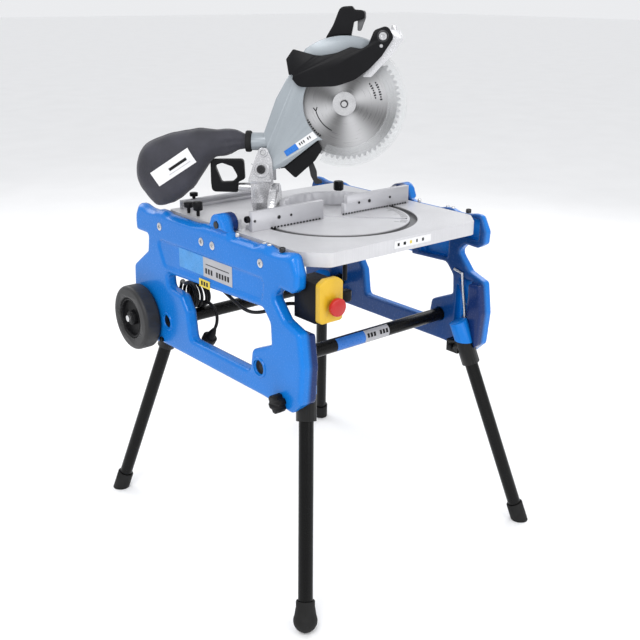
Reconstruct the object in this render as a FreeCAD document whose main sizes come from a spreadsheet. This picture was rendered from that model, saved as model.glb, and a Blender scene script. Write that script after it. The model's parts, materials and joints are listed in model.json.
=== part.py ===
import FreeCAD, Part
import math
import os
import re

from FreeCAD import Placement, Rotation, Vector

# Mitre saw on a four-legged wheeled stand.
# Origin on the floor under the middle of the object, X to the right, Y to the back, Z up, millimetres.
# Distances to the back are given from the drawing's own middle, which origin_shift then moves.
# The saw head stands turned 45 degrees to the left, raised, as it is stored.

doc = FreeCAD.newDocument("mitre_saw_on_stand")
sheet = doc.addObject("Spreadsheet::Sheet", "Sizes")

SIZES = {
    "origin_shift": 21.26,
    # stand
    "frame_outer": 295, "frame_inner": 267, "flange_inner": 250, "skin": 9, "recess_depth": 4,
    "tube_diameter": 32, "tube_inset": 4, "front_tube_back": -186.5, "rear_tube_back": 191.5,
    "tube_height": 517,
    "insert_diameter": 16, "insert_bore": 8, "insert_length": 22, "insert_height": 752,
    "lug_radius": 24, "trunnion_back": -36, "trunnion_height": 802, "trunnion_pin": 16,
    "fit_gap": 0.05, "leg_diameter": 32, "leg_length": 542, "foot_half_width": 356,
    "front_foot_back": -420.5,
    "rear_foot_back": 377.5, "foot_diameter": 41, "foot_height": 50, "socket_diameter": 44,
    "socket_start": 450, "socket_length": 110, "socket_cap": 5, "knob_diameter": 42, "knob_thickness": 17,
    "clamp_screw": 10, "clamp_height": 462, "clamp_offset": 33, "wheel_diameter": 163, "wheel_width": 44,
    "wheel_back": 293, "wheel_height": 508, "axle_diameter": 16, "hub_diameter": 104,
    # table
    "table_half_width": 262, "table_front": -326.5, "table_rear": 213.5, "table_top": 788,
    "table_depth": 30, "table_skin": 14, "ring_radius": 190, "ring_depth": 8, "disc_radius": 172,
    "ledge_radius": 158, "ledge_thickness": 8, "saw_back": -91.5, "fence_height": 44,
    "fence_thickness": 12,
    "fence_half_length": 238, "fence_gap": 36, "arch_inner": 118, "arch_outer": 130, "arch_height": 32,
    # saw
    "mitre_rest": 45, "blade_diameter": 250, "blade_thickness": 2.8, "blade_teeth": 60,
    "blade_height": 1046,
    "blade_forward": 17, "flange_diameter": 52, "pivot_forward": -168, "pivot_height": 900,
    "pivot_pin": 20, "bevel_pin": 14, "bevel_shaft": 10, "bevel_shaft_height": 852, "cover_radius": 145,
    "cover_half": 21.5, "cover_bore": 142, "cover_window": 91, "guard_radius": 139, "motor_diameter": 90,
    "motor_length": 116, "motor_start": 36, "port_diameter": 40,
    "cord_diameter": 8, "button_diameter": 38,
}
for row, (name, number) in enumerate(SIZES.items(), start=1):
    sheet.set("A%d" % row, name)
    sheet.set("B%d" % row, str(number))
    sheet.setAlias("B%d" % row, name)
doc.recompute()

X_AXIS = Vector(1, 0, 0)
Y_AXIS = Vector(0, 1, 0)
Z_AXIS = Vector(0, 0, 1)
NODES = []


# ---------------------------------------------------------------- building tools

def size(name):
    """The number in the sheet's cell of that name."""
    return float(getattr(sheet, name))


def link(obj, prop, formula):
    """Bind a property to a formula of sheet names."""
    named = re.sub(r"[a-z][a-z_]+", lambda word: "Sizes." + word.group(0), str(formula))
    obj.setExpression(prop, named)


def node(obj, label, placement=None):
    """Make an object a sub-part of the model under its own label."""
    obj.Label = label
    if placement is not None:
        obj.Placement = placement
    NODES.append(obj)
    return obj


def cylinder(name, radius, height, base, axis=Z_AXIS):
    obj = doc.addObject("Part::Cylinder", name)
    link(obj, "Radius", radius)
    link(obj, "Height", height)
    obj.Placement = Placement(Vector(*base), Rotation(Z_AXIS, Vector(*axis)))
    return obj


def cone(name, low_radius, high_radius, height, base, axis=Z_AXIS):
    obj = doc.addObject("Part::Cone", name)
    link(obj, "Radius1", low_radius)
    link(obj, "Radius2", high_radius)
    link(obj, "Height", height)
    obj.Placement = Placement(Vector(*base), Rotation(Z_AXIS, Vector(*axis)))
    return obj


def box(name, low, high):
    """A box between two corners."""
    obj = doc.addObject("Part::Box", name)
    low, high = Vector(*low), Vector(*high)
    obj.Length, obj.Width, obj.Height = high - low
    obj.Placement.Base = low
    return obj


def cut(name, base, *tools):
    obj = doc.addObject("Part::Cut", name)
    obj.Base = base
    obj.Tool = tools[0] if len(tools) == 1 else fuse(name + "_tools", *tools)
    return obj


def fuse(name, *shapes):
    obj = doc.addObject("Part::MultiFuse", name)
    obj.Shapes = list(shapes)
    return obj


def group(name, *shapes):
    obj = doc.addObject("Part::Compound", name)
    obj.Links = list(shapes)
    return obj


def polar(centre, radius, degrees):
    angle = math.radians(degrees)
    return Vector(centre[0] + radius * math.cos(angle), centre[1] + radius * math.sin(angle), 0)


class Arc:
    """An arc of an outline, from one angle to another about a centre."""

    def __init__(self, centre, radius, start, end):
        self.first = polar(centre, radius, start)
        self.last = polar(centre, radius, end)
        circle = Part.Circle(Vector(centre[0], centre[1], 0), Z_AXIS, radius)
        low, high = sorted((math.radians(start), math.radians(end)))
        self.edge = Part.ArcOfCircle(circle, low, high)


def outline(items):
    """Edges of a closed outline. An item is a corner (u, v), a rounded corner (u, v, radius) or an Arc."""
    ends = [(i.first, i.last) if isinstance(i, Arc) else (Vector(i[0], i[1], 0),) * 2 for i in items]
    edges, stops = [], []
    for index, item in enumerate(items):
        entry, leave = ends[index]
        if isinstance(item, Arc):
            edges.append(item.edge)
        elif len(item) == 3:
            to_last = (ends[index - 1][1] - entry).normalize()
            to_next = (ends[(index + 1) % len(items)][0] - entry).normalize()
            half = to_last.getAngle(to_next) / 2
            setback = item[2] / math.tan(half)
            centre = entry + (to_last + to_next).normalize() * (item[2] / math.sin(half))
            corner = entry
            entry, leave = corner + to_last * setback, corner + to_next * setback
            angles = [math.atan2(p.y - centre.y, p.x - centre.x) for p in (entry, leave)]
            if to_last.cross(to_next).z > 0:
                angles.reverse()
            start, end = angles
            if end < start:
                end += 2 * math.pi
            edges.append(Part.ArcOfCircle(Part.Circle(centre, Z_AXIS, item[2]), start, end))
        stops.append((entry, leave))
    for index, (entry, leave) in enumerate(stops):
        following = stops[(index + 1) % len(stops)][0]
        if leave.distanceToPoint(following) > 1e-6:
            edges.append(Part.LineSegment(leave, following))
    return edges


def circle(centre, radius):
    return [Part.Circle(Vector(centre[0], centre[1], 0), Z_AXIS, radius)]


def sketch(body, name, role, outlines, start):
    """A sketch on one of the body's origin planes, lifted along the plane's normal."""
    plane = next(f for f in body.Origin.OriginFeatures if f.Role == role)
    drawing = body.newObject("Sketcher::SketchObject", name)
    drawing.AttachmentSupport = (plane, "")
    drawing.MapMode = "FlatFace"
    link(drawing, ".AttachmentOffset.Base.z", start)
    for edges in outlines:
        for edge in edges:
            drawing.addGeometry(edge, False)
    return drawing


def plate(name, role, outlines, start, thickness):
    """A body of one pad: outlines on a plane, from start, thick along the plane's normal."""
    body = doc.addObject("PartDesign::Body", name)
    add_pad(body, name + "_pad", role, outlines, start, thickness)
    return body


def add_pad(body, name, role, outlines, start, thickness):
    drawing = sketch(body, name + "_sketch", role, outlines, start)
    pad = body.newObject("PartDesign::Pad", name)
    pad.Profile = drawing
    link(pad, "Length", thickness)
    doc.recompute()
    return pad


def add_pocket(body, name, role, outlines, start, depth, along=False):
    """Cut outlines out of a body, against the plane's normal, or along it."""
    before = body.Shape.Volume
    drawing = sketch(body, name + "_sketch", role, outlines, start)
    pocket = body.newObject("PartDesign::Pocket", name)
    pocket.Profile = drawing
    pocket.Reversed = along
    link(pocket, "Length", depth)
    doc.recompute()
    if body.Shape.Volume > before - 1:
        raise RuntimeError("%s cuts nothing" % name)
    return pocket


def unit(vector):
    return Vector(vector).normalize()


# ---------------------------------------------------------------- side frames

FRAME_OUTLINE = [
    (310, 790, 10), (321, 764, 12), (320, 723, 8), (263, 722, 8), (270, 680, 14), (341, 630, 16),
    (348, 520, 14), (341, 444, 14), (274, 440, 10), (233, 452, 10), (-193, 452, 10), (-297, 447, 12),
    (-326, 475, 12), (-333, 555, 20), (-322, 630, 12), (-273, 647, 12), (-235, 690, 12), (-259, 712, 5),
    (-296, 710, 8), (-314, 722, 8), (-316, 752, 10), (-300, 790, 12),
]
HAND_OPENING = [
    (184, 641, 14), (-200, 656, 18), (-224, 628, 14), (-227, 580, 10), (-158, 550, 16), (-150, 498, 14),
    (88, 498, 12), (98, 566, 16), (122, 600, 16), (180, 606, 12),
]
OUTER_RECESS = [(224, 720, 14), (-206, 722, 14), (-200, 670, 14), (192, 656, 14)]
CORD_CHANNEL = [(-88, 636), (-66, 706), (120, 706), (140, 636)]
FRONT_FLANGE = [(-297, 447, 12), (-326, 475, 12), (-333, 555, 20), (-323, 624), (-290, 624), (-290, 447)]
TOP_CELLS = [(-298, -214), (-178, -66), (42, 188), (224, 300)]
INSERT_PLACES = [205.5, 25.5, -18.5, -195.5]


def crossed_cells(low, high, rib):
    """Four three-sided cells that leave a crossed pair of ribs between them."""
    (left, bottom), (right, top) = low, high
    middle = ((left + right) / 2, (bottom + top) / 2)
    return [
        [(left, bottom + rib), (left, top - rib), (middle[0] - rib, middle[1])],
        [(right, bottom + rib), (right, top - rib), (middle[0] + rib, middle[1])],
        [(left + rib, bottom), (right - rib, bottom), (middle[0], middle[1] - rib)],
        [(left + rib, top), (right - rib, top), (middle[0], middle[1] + rib)],
    ]


def side_frame(label, side):
    """A cast side frame with its hand opening, ribs, trunnion lug and holes; side is -1 left, 1 right."""
    thick = "frame_outer - frame_inner"
    start = "frame_inner" if side > 0 else "-frame_outer"
    body = plate(label + "_body", "YZ_Plane", [outline(FRAME_OUTLINE), outline(HAND_OPENING)], start,
                 thick)
    flange = "flange_inner" if side > 0 else "-frame_inner"
    add_pad(body, label + "_flange", "YZ_Plane", [outline(FRONT_FLANGE)], flange,
            "frame_inner - flange_inner")
    add_pocket(body, label + "_recess", "YZ_Plane", [outline(OUTER_RECESS)],
               "frame_outer" if side > 0 else "-frame_outer", "recess_depth", along=side < 0)
    rib = 5
    cells = crossed_cells((-312, 480), (-238, 625), rib) + crossed_cells((205, 560), (322, 628), rib)
    cells += [[(low, 728), (low, 779), (high, 779), (high, 728)] for low, high in TOP_CELLS]
    cells += [[(-205, 668), (-205, 712), (-96, 712), (-112, 664)],
              [(150, 652), (134, 712), (246, 712), (250, 668)]]
    add_pocket(body, label + "_cells", "YZ_Plane", [outline(cell) for cell in cells],
               "frame_inner" if side > 0 else "-frame_inner", "frame_outer - frame_inner - skin",
               along=side > 0)
    add_pocket(body, label + "_channel", "YZ_Plane", [outline(CORD_CHANNEL)],
               "frame_inner" if side > 0 else "-frame_inner", "frame_outer - frame_inner - skin",
               along=side > 0)
    lug_start = "flange_inner" if side > 0 else "-frame_outer"
    lug_place = (size("trunnion_back"), size("trunnion_height"))
    add_pad(body, label + "_lug_foot", "YZ_Plane",
            [outline([(lug_place[0] - 36, 780), (lug_place[0] - 24, 806), (lug_place[0] + 24, 806),
                      (lug_place[0] + 36, 780)])], start, thick)
    add_pad(body, label + "_lug", "YZ_Plane", [circle(lug_place, size("lug_radius"))],
            lug_start, "frame_outer - flange_inner")
    return body


def across(name, radius, inner, outer, side, back, height):
    """A cylinder along X between two distances from the middle plane."""
    base = (inner if side > 0 else -outer, back, height)
    return cylinder(name, radius, outer - inner, base, X_AXIS)


def leg_axis(side, end):
    """Foot point and unit direction, upwards, of one leg; end is 'front' or 'rear'."""
    reference_height, lean_in = 450, 101
    foot_back = size(end + "_foot_back")
    lean_back = 122 if end == "front" else -122
    foot = Vector(side * size("foot_half_width"), foot_back, 0)
    return foot, unit((-side * lean_in, lean_back, reference_height))


def clamp_place(end):
    """How far back a leg's clamp screw lies."""
    foot, direction = leg_axis(1, end)
    axis_back = foot.y + direction.y / direction.z * size("clamp_height")
    return axis_back + (size("clamp_offset") if end == "front" else -size("clamp_offset"))


def clamp_ear(name, side, end):
    """The block of a leg socket that the clamp screw goes through."""
    middle = clamp_place(end)
    half_height, half_width, reach, inner, outer = 15, 14, 22, 232, 266
    low, high = middle - half_width, middle + reach
    if end == "front":
        low, high = middle - reach, middle + half_width
    start, stop = sorted((side * inner, side * outer))
    height = size("clamp_height")
    return box(name, (start, low, height - half_height), (stop, high, height + half_height))


def build_stand():
    for side, word in ((-1, "left"), (1, "right")):
        label = "side_frame_" + word
        body = side_frame(label, side)
        tools = []
        for count, back in enumerate(INSERT_PLACES):
            tools.append(across("%s_insert_%d" % (label, count), "insert_diameter / 2",
                                size("frame_outer") - size("insert_length"), size("frame_outer"), side,
                                back, size("insert_height")))
        for end in ("front", "rear"):
            tools.append(across("%s_%s_tube_hole" % (label, end), "tube_diameter / 2", 240, 300, side,
                                size(end + "_tube_back"), size("tube_height")))
            foot, direction = leg_axis(side, end)
            base = foot + direction * size("socket_start")
            tools.append(cylinder("%s_%s_socket_hole" % (label, end), "socket_diameter / 2",
                                  "socket_length",
                                  base, direction))
            tools.append(clamp_ear("%s_%s_ear_hole" % (label, end), side, end))
            tools.append(across("%s_%s_screw_hole" % (label, end), "clamp_screw / 2 + 0.5", 240, 300,
                                side,
                                clamp_place(end), size("clamp_height")))
        tools.append(across(label + "_axle_hole", "axle_diameter / 2", 260, 300, side,
                            size("wheel_back"), size("wheel_height")))
        tools.append(across(label + "_pin_hole", "trunnion_pin / 2", 240, 300, side,
                            size("trunnion_back"), size("trunnion_height")))
        node(cut(label, body, *tools), label)

    inserts = []
    for side in (-1, 1):
        for count, back in enumerate(INSERT_PLACES):
            inner, outer = size("frame_outer") - size("insert_length"), size("frame_outer")
            tag = "insert_%d_%d" % (side + 1, count)
            inserts.append(cut(tag, across(tag + "_sleeve", "insert_diameter / 2", inner, outer, side,
                                           back,
                                           size("insert_height")),
                               across(tag + "_bore", "insert_bore / 2", inner - 1, outer + 1, side, back,
                                      size("insert_height"))))
    node(group("frame_inserts", *inserts), "frame_inserts")

    reach = size("frame_outer") - size("tube_inset")
    for end in ("front", "rear"):
        label = "cross_tube_" + end
        place = (-reach, size(end + "_tube_back"), size("tube_height"))
        outer = cylinder(label + "_outer", "tube_diameter / 2", 2 * reach, place, X_AXIS)
        inner = cylinder(label + "_inner", "tube_diameter / 2 - 2", 2 * reach - 12,
                         (-reach + 6, place[1], place[2]), X_AXIS)
        node(cut(label, outer, inner), label)

    axles = [across("axle_%d" % side, "axle_diameter / 2", size("frame_inner"), 348, side,
                    size("wheel_back"), size("wheel_height")) for side in (-1, 1)]
    node(group("wheel_axles", *axles), "wheel_axles")
    pins = [across("pin_%d" % side, "trunnion_pin / 2", 233, size("frame_outer") + 1, side,
                   size("trunnion_back"), size("trunnion_height")) for side in (-1, 1)]
    node(group("trunnion_pins", *pins), "trunnion_pins")


def build_legs():
    for side, word in ((-1, "left"), (1, "right")):
        for end in ("front", "rear"):
            tag = end + "_" + word
            foot, direction = leg_axis(side, end)
            adjustable = tag == "front_left"
            tube_start = 12
            tube = cylinder("leg_tube_" + tag + "_outer", "leg_diameter / 2", "leg_length",
                            foot + direction * tube_start, direction)
            hollow = cylinder("leg_tube_" + tag + "_inner", "leg_diameter / 2 - 2", "leg_length - 10",
                              foot + direction * (tube_start - 1), direction)
            node(cut("leg_tube_" + tag, tube, hollow), "leg_tube_" + tag)
            leg_foot(tag, foot, direction, tube_start, adjustable)
            leg_socket(tag, foot, direction, side, end)
            leg_knob(tag, side, end)


def leg_foot(tag, foot, direction, tube_start, adjustable):
    """A rubber foot on the leg tube. The adjustable one is round about the leg, with a domed sole."""
    sole_back = 25
    if adjustable:
        dome_radius = 26
        dome = doc.addObject("Part::Sphere", "foot_dome")
        dome.Radius = dome_radius
        dome.Placement.Base = foot + direction * (dome_radius / direction.z)
        skirt = cone("foot_skirt", dome_radius - 0.5, "foot_diameter / 2", 30,
                     foot + direction * (dome_radius / direction.z), direction)
        sleeve = cylinder("foot_sleeve", "foot_diameter / 2", 14, foot + direction * 56, direction)
        solid = fuse("foot_solid_" + tag, dome, skirt, sleeve)
        bore = cylinder("foot_bore_" + tag, "leg_diameter / 2 + fit_gap", 100,
                        foot + direction * tube_start,
                        direction)
        node(cut("leg_foot_" + tag, solid, bore), "leg_foot_" + tag)
        return
    sleeve = cylinder("foot_sleeve_" + tag, "foot_diameter / 2", "foot_height + 25",
                      foot - direction * sole_back, direction)
    bore = cylinder("foot_bore_" + tag, "leg_diameter / 2", 100, foot + direction * tube_start, direction)
    below = box("foot_below_" + tag, (foot.x - 60, foot.y - 60, -60), (foot.x + 60, foot.y + 60, 0))
    node(cut("leg_foot_" + tag, sleeve, bore, below), "leg_foot_" + tag)


def leg_socket(tag, foot, direction, side, end):
    """The sleeve that the leg slides out of, with the ear of its clamp."""
    start, length = size("socket_start"), size("socket_length")
    sleeve = cylinder("socket_sleeve_" + tag, "socket_diameter / 2", "socket_length",
                      foot + direction * start, direction)
    ear = clamp_ear("socket_ear_" + tag, side, end)
    bore = cylinder("socket_bore_" + tag, "leg_diameter / 2 + fit_gap", "socket_length - socket_cap + 40",
                    foot + direction * (start - 40), direction)
    hole = across("socket_screw_" + tag, "clamp_screw / 2 + 0.5", 220, 290, side, clamp_place(end),
                  size("clamp_height"))
    node(cut("leg_socket_" + tag, fuse("socket_solid_" + tag, sleeve, ear), bore, hole),
         "leg_socket_" + tag)


def leg_knob(tag, side, end):
    """A lobed clamping knob with its screw and bolt head. Front knobs face out, rear knobs face in."""
    lobes, back, height = 6, clamp_place(end), size("clamp_height")
    faces_out = end == "front"
    knob_start = size("frame_outer") + 1 if faces_out else 230 - size("knob_thickness")
    knob_end = knob_start + size("knob_thickness")
    disc = across("knob_disc_" + tag, "knob_diameter / 2", knob_start, knob_end, side, back, height)
    bites = []
    for count in range(lobes):
        angle = math.radians(count * 360 / lobes)
        ring = size("knob_diameter") / 2 + 3
        bites.append(across("knob_bite_%s_%d" % (tag, count), 6.5, knob_start - 1, knob_end + 1, side,
                            back + ring * math.cos(angle), height + ring * math.sin(angle)))
    star = cut("knob_star_" + tag, disc, *bites)
    head_start, head_end = (224, 230) if faces_out else (296, 300)
    screw_ends = (head_start, knob_end - 4) if faces_out else (knob_start + 4, head_end)
    screw = across("knob_screw_" + tag, "clamp_screw / 2", screw_ends[0], screw_ends[1], side, back,
                   height)
    head = across("knob_head_" + tag, 7, head_start, head_end, side, back, height)
    node(fuse("leg_knob_" + tag, star, screw, head), "leg_knob_" + tag)


def build_wheels():
    for side, word in ((-1, "left"), (1, "right")):
        inner = size("frame_outer") + 3
        outer = inner + size("wheel_width")
        back, height = size("wheel_back"), size("wheel_height")
        tyre = across("tyre_solid_" + word, "wheel_diameter / 2", inner, outer, side, back, height)
        rounded = doc.addObject("Part::Fillet", "tyre_round_" + word)
        rounded.Base = tyre
        doc.recompute()
        rim_length = math.pi * size("wheel_diameter")
        rims = [count for count, edge in enumerate(tyre.Shape.Edges, start=1)
                if abs(edge.Length - rim_length) < 1]
        rounded.Edges = [(count, 9, 9) for count in rims]
        hole = across("tyre_hole_" + word, "hub_diameter / 2", inner - 1, outer + 1, side, back, height)
        node(cut("wheel_tyre_" + word, rounded, hole), "wheel_tyre_" + word)
        rim = across("rim_" + word, "hub_diameter / 2", inner + 3, outer - 3, side, back, height)
        dish = across("dish_" + word, "hub_diameter / 2 - 7", outer - 15, outer, side, back, height)
        dish_in = across("dish_in_" + word, "hub_diameter / 2 - 7", inner, inner + 15, side, back, height)
        boss = across("boss_" + word, 18, inner + 1, outer - 2, side, back, height)
        bore = across("hub_bore_" + word, "axle_diameter / 2 + fit_gap", inner - 2, outer + 2, side,
                      back, height)
        shell = cut("hub_shell_" + word, rim, dish, dish_in)
        node(cut("wheel_hub_" + word, fuse("hub_solid_" + word, shell, boss), bore), "wheel_hub_" + word)


# ---------------------------------------------------------------- switch and cord

CORD_RUN = [
    (-240, -258, 668), (-242, -228, 664), (-253, -198, 650), (-267, -162, 629), (-274, -115, 620),
    (-277, -62, 638), (-278, 0, 660), (-278, 60, 658), (-276, 112, 634), (-266, 152, 618),
    (-246, 186, 614),
    (-224, 206, 598),
]
CORD_TAIL = [(-206, 150, 562), (-203, 128, 556), (-201, 112, 538), (-202, 108, 516), (-206, 118, 498)]
HANK_LOW = (-244, 150, 536)
HANK_HIGH = (-172, 236, 600)


def cord_tube(label, points):
    """A round tube along straight runs joined by tangent arcs."""
    points = [Vector(*p) for p in points]
    edges, radii, last = [], [], points[0]
    for before, corner, after in zip(points, points[1:], points[2:]):
        run_in, run_out = before - corner, after - corner
        half = run_in.getAngle(run_out) / 2
        setback = 0.45 * min(run_in.Length, run_out.Length)
        radii.append(setback * math.tan(half))
        start = corner + unit(run_in) * setback
        end = corner + unit(run_out) * setback
        centre = corner + unit(unit(run_in) + unit(run_out)) * (setback / math.cos(half))
        middle = centre + unit(corner - centre) * radii[-1]
        edges.append(Part.LineSegment(last, start).toShape())
        edges.append(Part.Arc(start, middle, end).toShape())
        last = end
    edges.append(Part.LineSegment(last, points[-1]).toShape())
    path = Part.Wire(edges)
    radius = size("cord_diameter") / 2
    ring = Part.Wire(Part.Circle(points[0], points[1] - points[0], radius).toShape())
    solid = path.makePipeShell([ring], True, False)
    tube = doc.addObject("Part::Feature", label)
    tube.Shape = solid
    expected = math.pi * radius ** 2 * path.Length
    print("%s length %.0f volume ratio %.4f radii %s"
          % (label, path.Length, solid.Volume / expected, [round(r) for r in radii]))
    return node(tube, label)


def build_switch():
    base = box("switch_box_solid", (-266, -340, 652), (-210, -272, 736))
    well = cylinder("switch_well", 6, 14, (-231, -341, 688), Y_AXIS)
    node(cut("switch_box", base, well), "switch_box")
    cover = plate("switch_cover_body", "XZ_Plane",
                  [outline([(-266, 654, 8), (-206, 654, 8), (-206, 736, 8), (-218, 745, 6),
                            (-250, 745, 6),
                            (-266, 736, 8)])], 340, 14)
    hole = cylinder("switch_cover_hole", 6, 40, (-231, -360, 688), Y_AXIS)
    node(cut("switch_cover", cover, hole), "switch_cover")
    head = cylinder("button_head", "button_diameter / 2", 12, (-231, -373, 688), Y_AXIS)
    stem = cylinder("button_stem", "6 - fit_gap", 26, (-231, -361, 688), Y_AXIS)
    node(fuse("stop_button", head, stem), "stop_button")
    collar = cylinder("gland_collar", 9, 6, (-240, -272, 668), Y_AXIS)
    relief = cone("gland_relief", 7.5, "cord_diameter / 2 + 1", 14, (-240, -272, 668), Y_AXIS)
    relief_bore = cylinder("gland_end", "cord_diameter / 2 + 2", 6, (-240, -258, 668), Y_AXIS)
    node(cut("cord_gland", fuse("gland_solid", collar, relief), relief_bore), "cord_gland")
    cord_tube("cord_run", CORD_RUN)
    cord_tube("cord_tail", CORD_TAIL)
    low, high = Vector(*HANK_LOW), Vector(*HANK_HIGH)
    bundle = box("hank_block", low, high)
    hank = doc.addObject("Part::Fillet", "cord_hank")
    hank.Base = bundle
    doc.recompute()
    hank.Edges = [(i + 1, 18, 18) for i in range(len(bundle.Shape.Edges))]
    node(hank, "cord_hank")
    end = Vector(*CORD_TAIL[-1])
    drop = unit(end - Vector(*CORD_TAIL[-2]))
    grip = cone("plug_grip", "cord_diameter / 2 + 1", 13, 26, end, drop)
    face = cylinder("plug_face", 18, 14, end + drop * 26, drop)
    side = unit(drop.cross(X_AXIS))
    prongs = [cylinder("prong_%d" % k, 2.4, 19, end + drop * 40 + side * 9.5 * k, drop) for k in (-1, 1)]
    node(fuse("mains_plug", grip, face, *prongs), "mains_plug")


def build_tool():
    """The bent socket key kept inside the right frame."""
    x_place, radius = 263.5, 3
    points = [Vector(x_place, -232, 646), Vector(x_place, -258, 640), Vector(x_place, -275, 532)]
    shank = cylinder("key_shank", radius, (points[2] - points[1]).Length, points[1],
                     points[2] - points[1])
    head = cylinder("key_head", radius, (points[0] - points[1]).Length, points[1], points[0] - points[1])
    elbow = doc.addObject("Part::Sphere", "key_elbow")
    elbow.Radius = radius
    elbow.Placement.Base = points[1]
    node(fuse("hex_key", shank, head, elbow), "hex_key")


# ---------------------------------------------------------------- table

def build_table():
    half, front, rear = size("table_half_width"), size("table_front"), size("table_rear")
    top, deep = size("table_top"), size("table_depth")
    rim = [(-half, front + 52, 22), (-half + 46, front, 22), (half - 46, front, 22),
           (half, front + 52, 22),
           (half, rear, 10), (-half, rear, 10)]
    wall = 7
    inside = [(-half + wall, front + 55, 16), (-half + 49, front + wall, 16),
              (half - 49, front + wall, 16),
              (half - wall, front + 55, 16), (half - wall, rear - wall, 6),
              (-half + wall, rear - wall, 6)]
    body = plate("table_body", "XY_Plane", [outline(rim)], "table_top - table_depth", "table_depth")
    add_pocket(body, "table_hollow", "XY_Plane", [outline(inside)], "table_top - table_depth",
               "table_depth - table_skin", along=True)
    saw = (0, size("saw_back"))
    add_pad(body, "table_ledge", "XY_Plane", [circle(saw, size("ring_radius") + 8)],
            "table_top - table_skin - ledge_thickness", "ledge_thickness + 1")
    add_pocket(body, "table_ring", "XY_Plane", [circle(saw, size("ring_radius"))], "table_top",
               "ring_depth")
    add_pocket(body, "table_bore", "XY_Plane", [circle(saw, size("disc_radius") + size("fit_gap"))],
               "table_top", "table_skin")
    add_pocket(body, "table_eye", "XY_Plane", [circle(saw, size("ledge_radius"))], "table_top",
               "table_depth")
    notches, ears, bores = [], [], []
    back, height = size("trunnion_back"), size("trunnion_height")
    clear = size("lug_radius") + 3
    for side in (-1, 1):
        low, high = sorted((side * 249, side * 300))
        notches.append(box("table_notch_%d" % (side + 1), (low, back - clear, top - deep - 1),
                           (high, back + clear, top + 1)))
        ears.append(across("table_ear_%d" % (side + 1), 19, 241, 248.5, side, back, height))
        low, high = sorted((side * 241, side * 248.5))
        ears.append(box("table_ear_foot_%d" % (side + 1), (low, back - 19, top - 4),
                        (high, back + 19, height)))
        bores.append(across("table_ear_bore_%d" % (side + 1), "trunnion_pin / 2 + fit_gap", 230, 260,
                            side,
                            back, height))
    solid = fuse("table_solid", cut("table_notched", body, *notches), *ears)
    node(cut("table_plate", solid, *bores), "table_plate")

    fence_face, gap, length = size("saw_back"), size("fence_gap"), size("fence_half_length")
    tall = top + size("fence_height")
    pieces = []
    for side in (-1, 1):
        step = gap - 8 if side > 0 else gap
        panel = [(side * length, top), (side * length, tall), (side * gap, tall), (side * gap, top + 26),
                 (side * step, top + 26), (side * step, top)]
        if side < 0:
            panel = [(side * length, top), (side * length, tall), (side * gap, tall), (side * gap, top)]
        pieces.append(plate("fence_panel_%d" % (side + 1), "XZ_Plane", [outline(panel)],
                            -fence_face - 12, 12))
        low, high = sorted((side * 100, side * (length - 6)))
        pieces.append(box("fence_foot_%d" % (side + 1), (low, fence_face + 10, top),
                          (high, fence_face + 34, top + 9)))
    arch_low = top + 2
    ring = cylinder("arch_outer_solid", "arch_outer", "arch_height", (0, fence_face, arch_low))
    bore = cylinder("arch_bore", "arch_inner", "arch_height + 2", (0, fence_face, arch_low - 1))
    front_half = box("arch_front", (-150, fence_face - 150, arch_low - 1),
                     (150, fence_face + 6, tall + 5))
    pieces.append(cut("fence_arch", ring, bore, front_half))
    node(fuse("fence", *pieces), "fence")
    screws = []
    for side in (-1, 1):
        for count, place in enumerate((150, 205)):
            screws.append(cylinder("fence_screw_%d_%d" % (side + 1, count), 5, 4,
                                   (side * place, fence_face + 24, top + 9)))
    node(group("fence_screws", *screws), "fence_screws")

    bar_back, bar_top = rear - 22, top + 20
    bar = box("rear_bar_block", (-236, bar_back, top), (-20, bar_back + 14, bar_top))
    groove = box("rear_bar_groove", (-240, bar_back - 1, top + 8), (-10, bar_back + 5, top + 13))
    node(cut("rear_bar", bar, groove), "rear_bar")
    thumb = []
    for count, (place_x, place_y) in enumerate(((-246, 110), (-246, 150))):
        thumb.append(fuse("thumb_%d" % count, cylinder("thumb_post_%d" % count, 4, 14,
                                                       (place_x, place_y, top)),
                          cylinder("thumb_grip_%d" % count, 11, 20 - 8 * count,
                                   (place_x, place_y, top + 14))))
    thumb.append(fuse("thumb_2", cylinder("thumb_post_2", 4, 6, (-200, bar_back + 7, bar_top)),
                      cylinder("thumb_grip_2", 10, 9, (-200, bar_back + 7, bar_top + 6))))
    node(group("thumb_screws", *thumb), "thumb_screws")
    stem = cylinder("lock_stem", 5, 62, (-150, -296, top - size("table_skin") - 62))
    grip = cylinder("lock_grip", 15, 22, (-150, -296, 668))
    node(fuse("table_lock_knob", stem, grip), "table_lock_knob")


# ---------------------------------------------------------------- saw: square-cut pose, then turned

def turned():
    """Placement that turns the saw about the turntable's axis to where it stands."""
    return Placement(Vector(0, size("saw_back"), 0), Rotation(Z_AXIS, size("mitre_rest")))


def side_view(items):
    """Corners given as (forward, up) turned into the plane's (back, up)."""
    flipped = []
    for item in items:
        flipped.append(item if isinstance(item, Arc) else (-item[0],) + tuple(item[1:]))
    return outline(flipped)


def slab(name, items, start, thickness):
    """A plate in the plane of the blade, between two distances to its motor side."""
    return plate(name, "YZ_Plane", [side_view(items)], start, thickness)


def sideways(name, radius, start, length, forward, height):
    """A cylinder across the blade, by its place in the side view."""
    return cylinder(name, radius, length, (start, -forward, height), X_AXIS)


def lengthways(name, radius, start, end, aside, height):
    """A cylinder along the cutting direction, from one forward place to another."""
    return cylinder(name, radius, end - start, (aside, -start, height), Vector(0, -1, 0))


def blade_arc(radius, start, end):
    """An arc about the blade's axis in side view, angles from straight ahead, upwards."""
    return Arc((-size("blade_forward"), size("blade_height")), radius, 180 - start, 180 - end)


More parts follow.
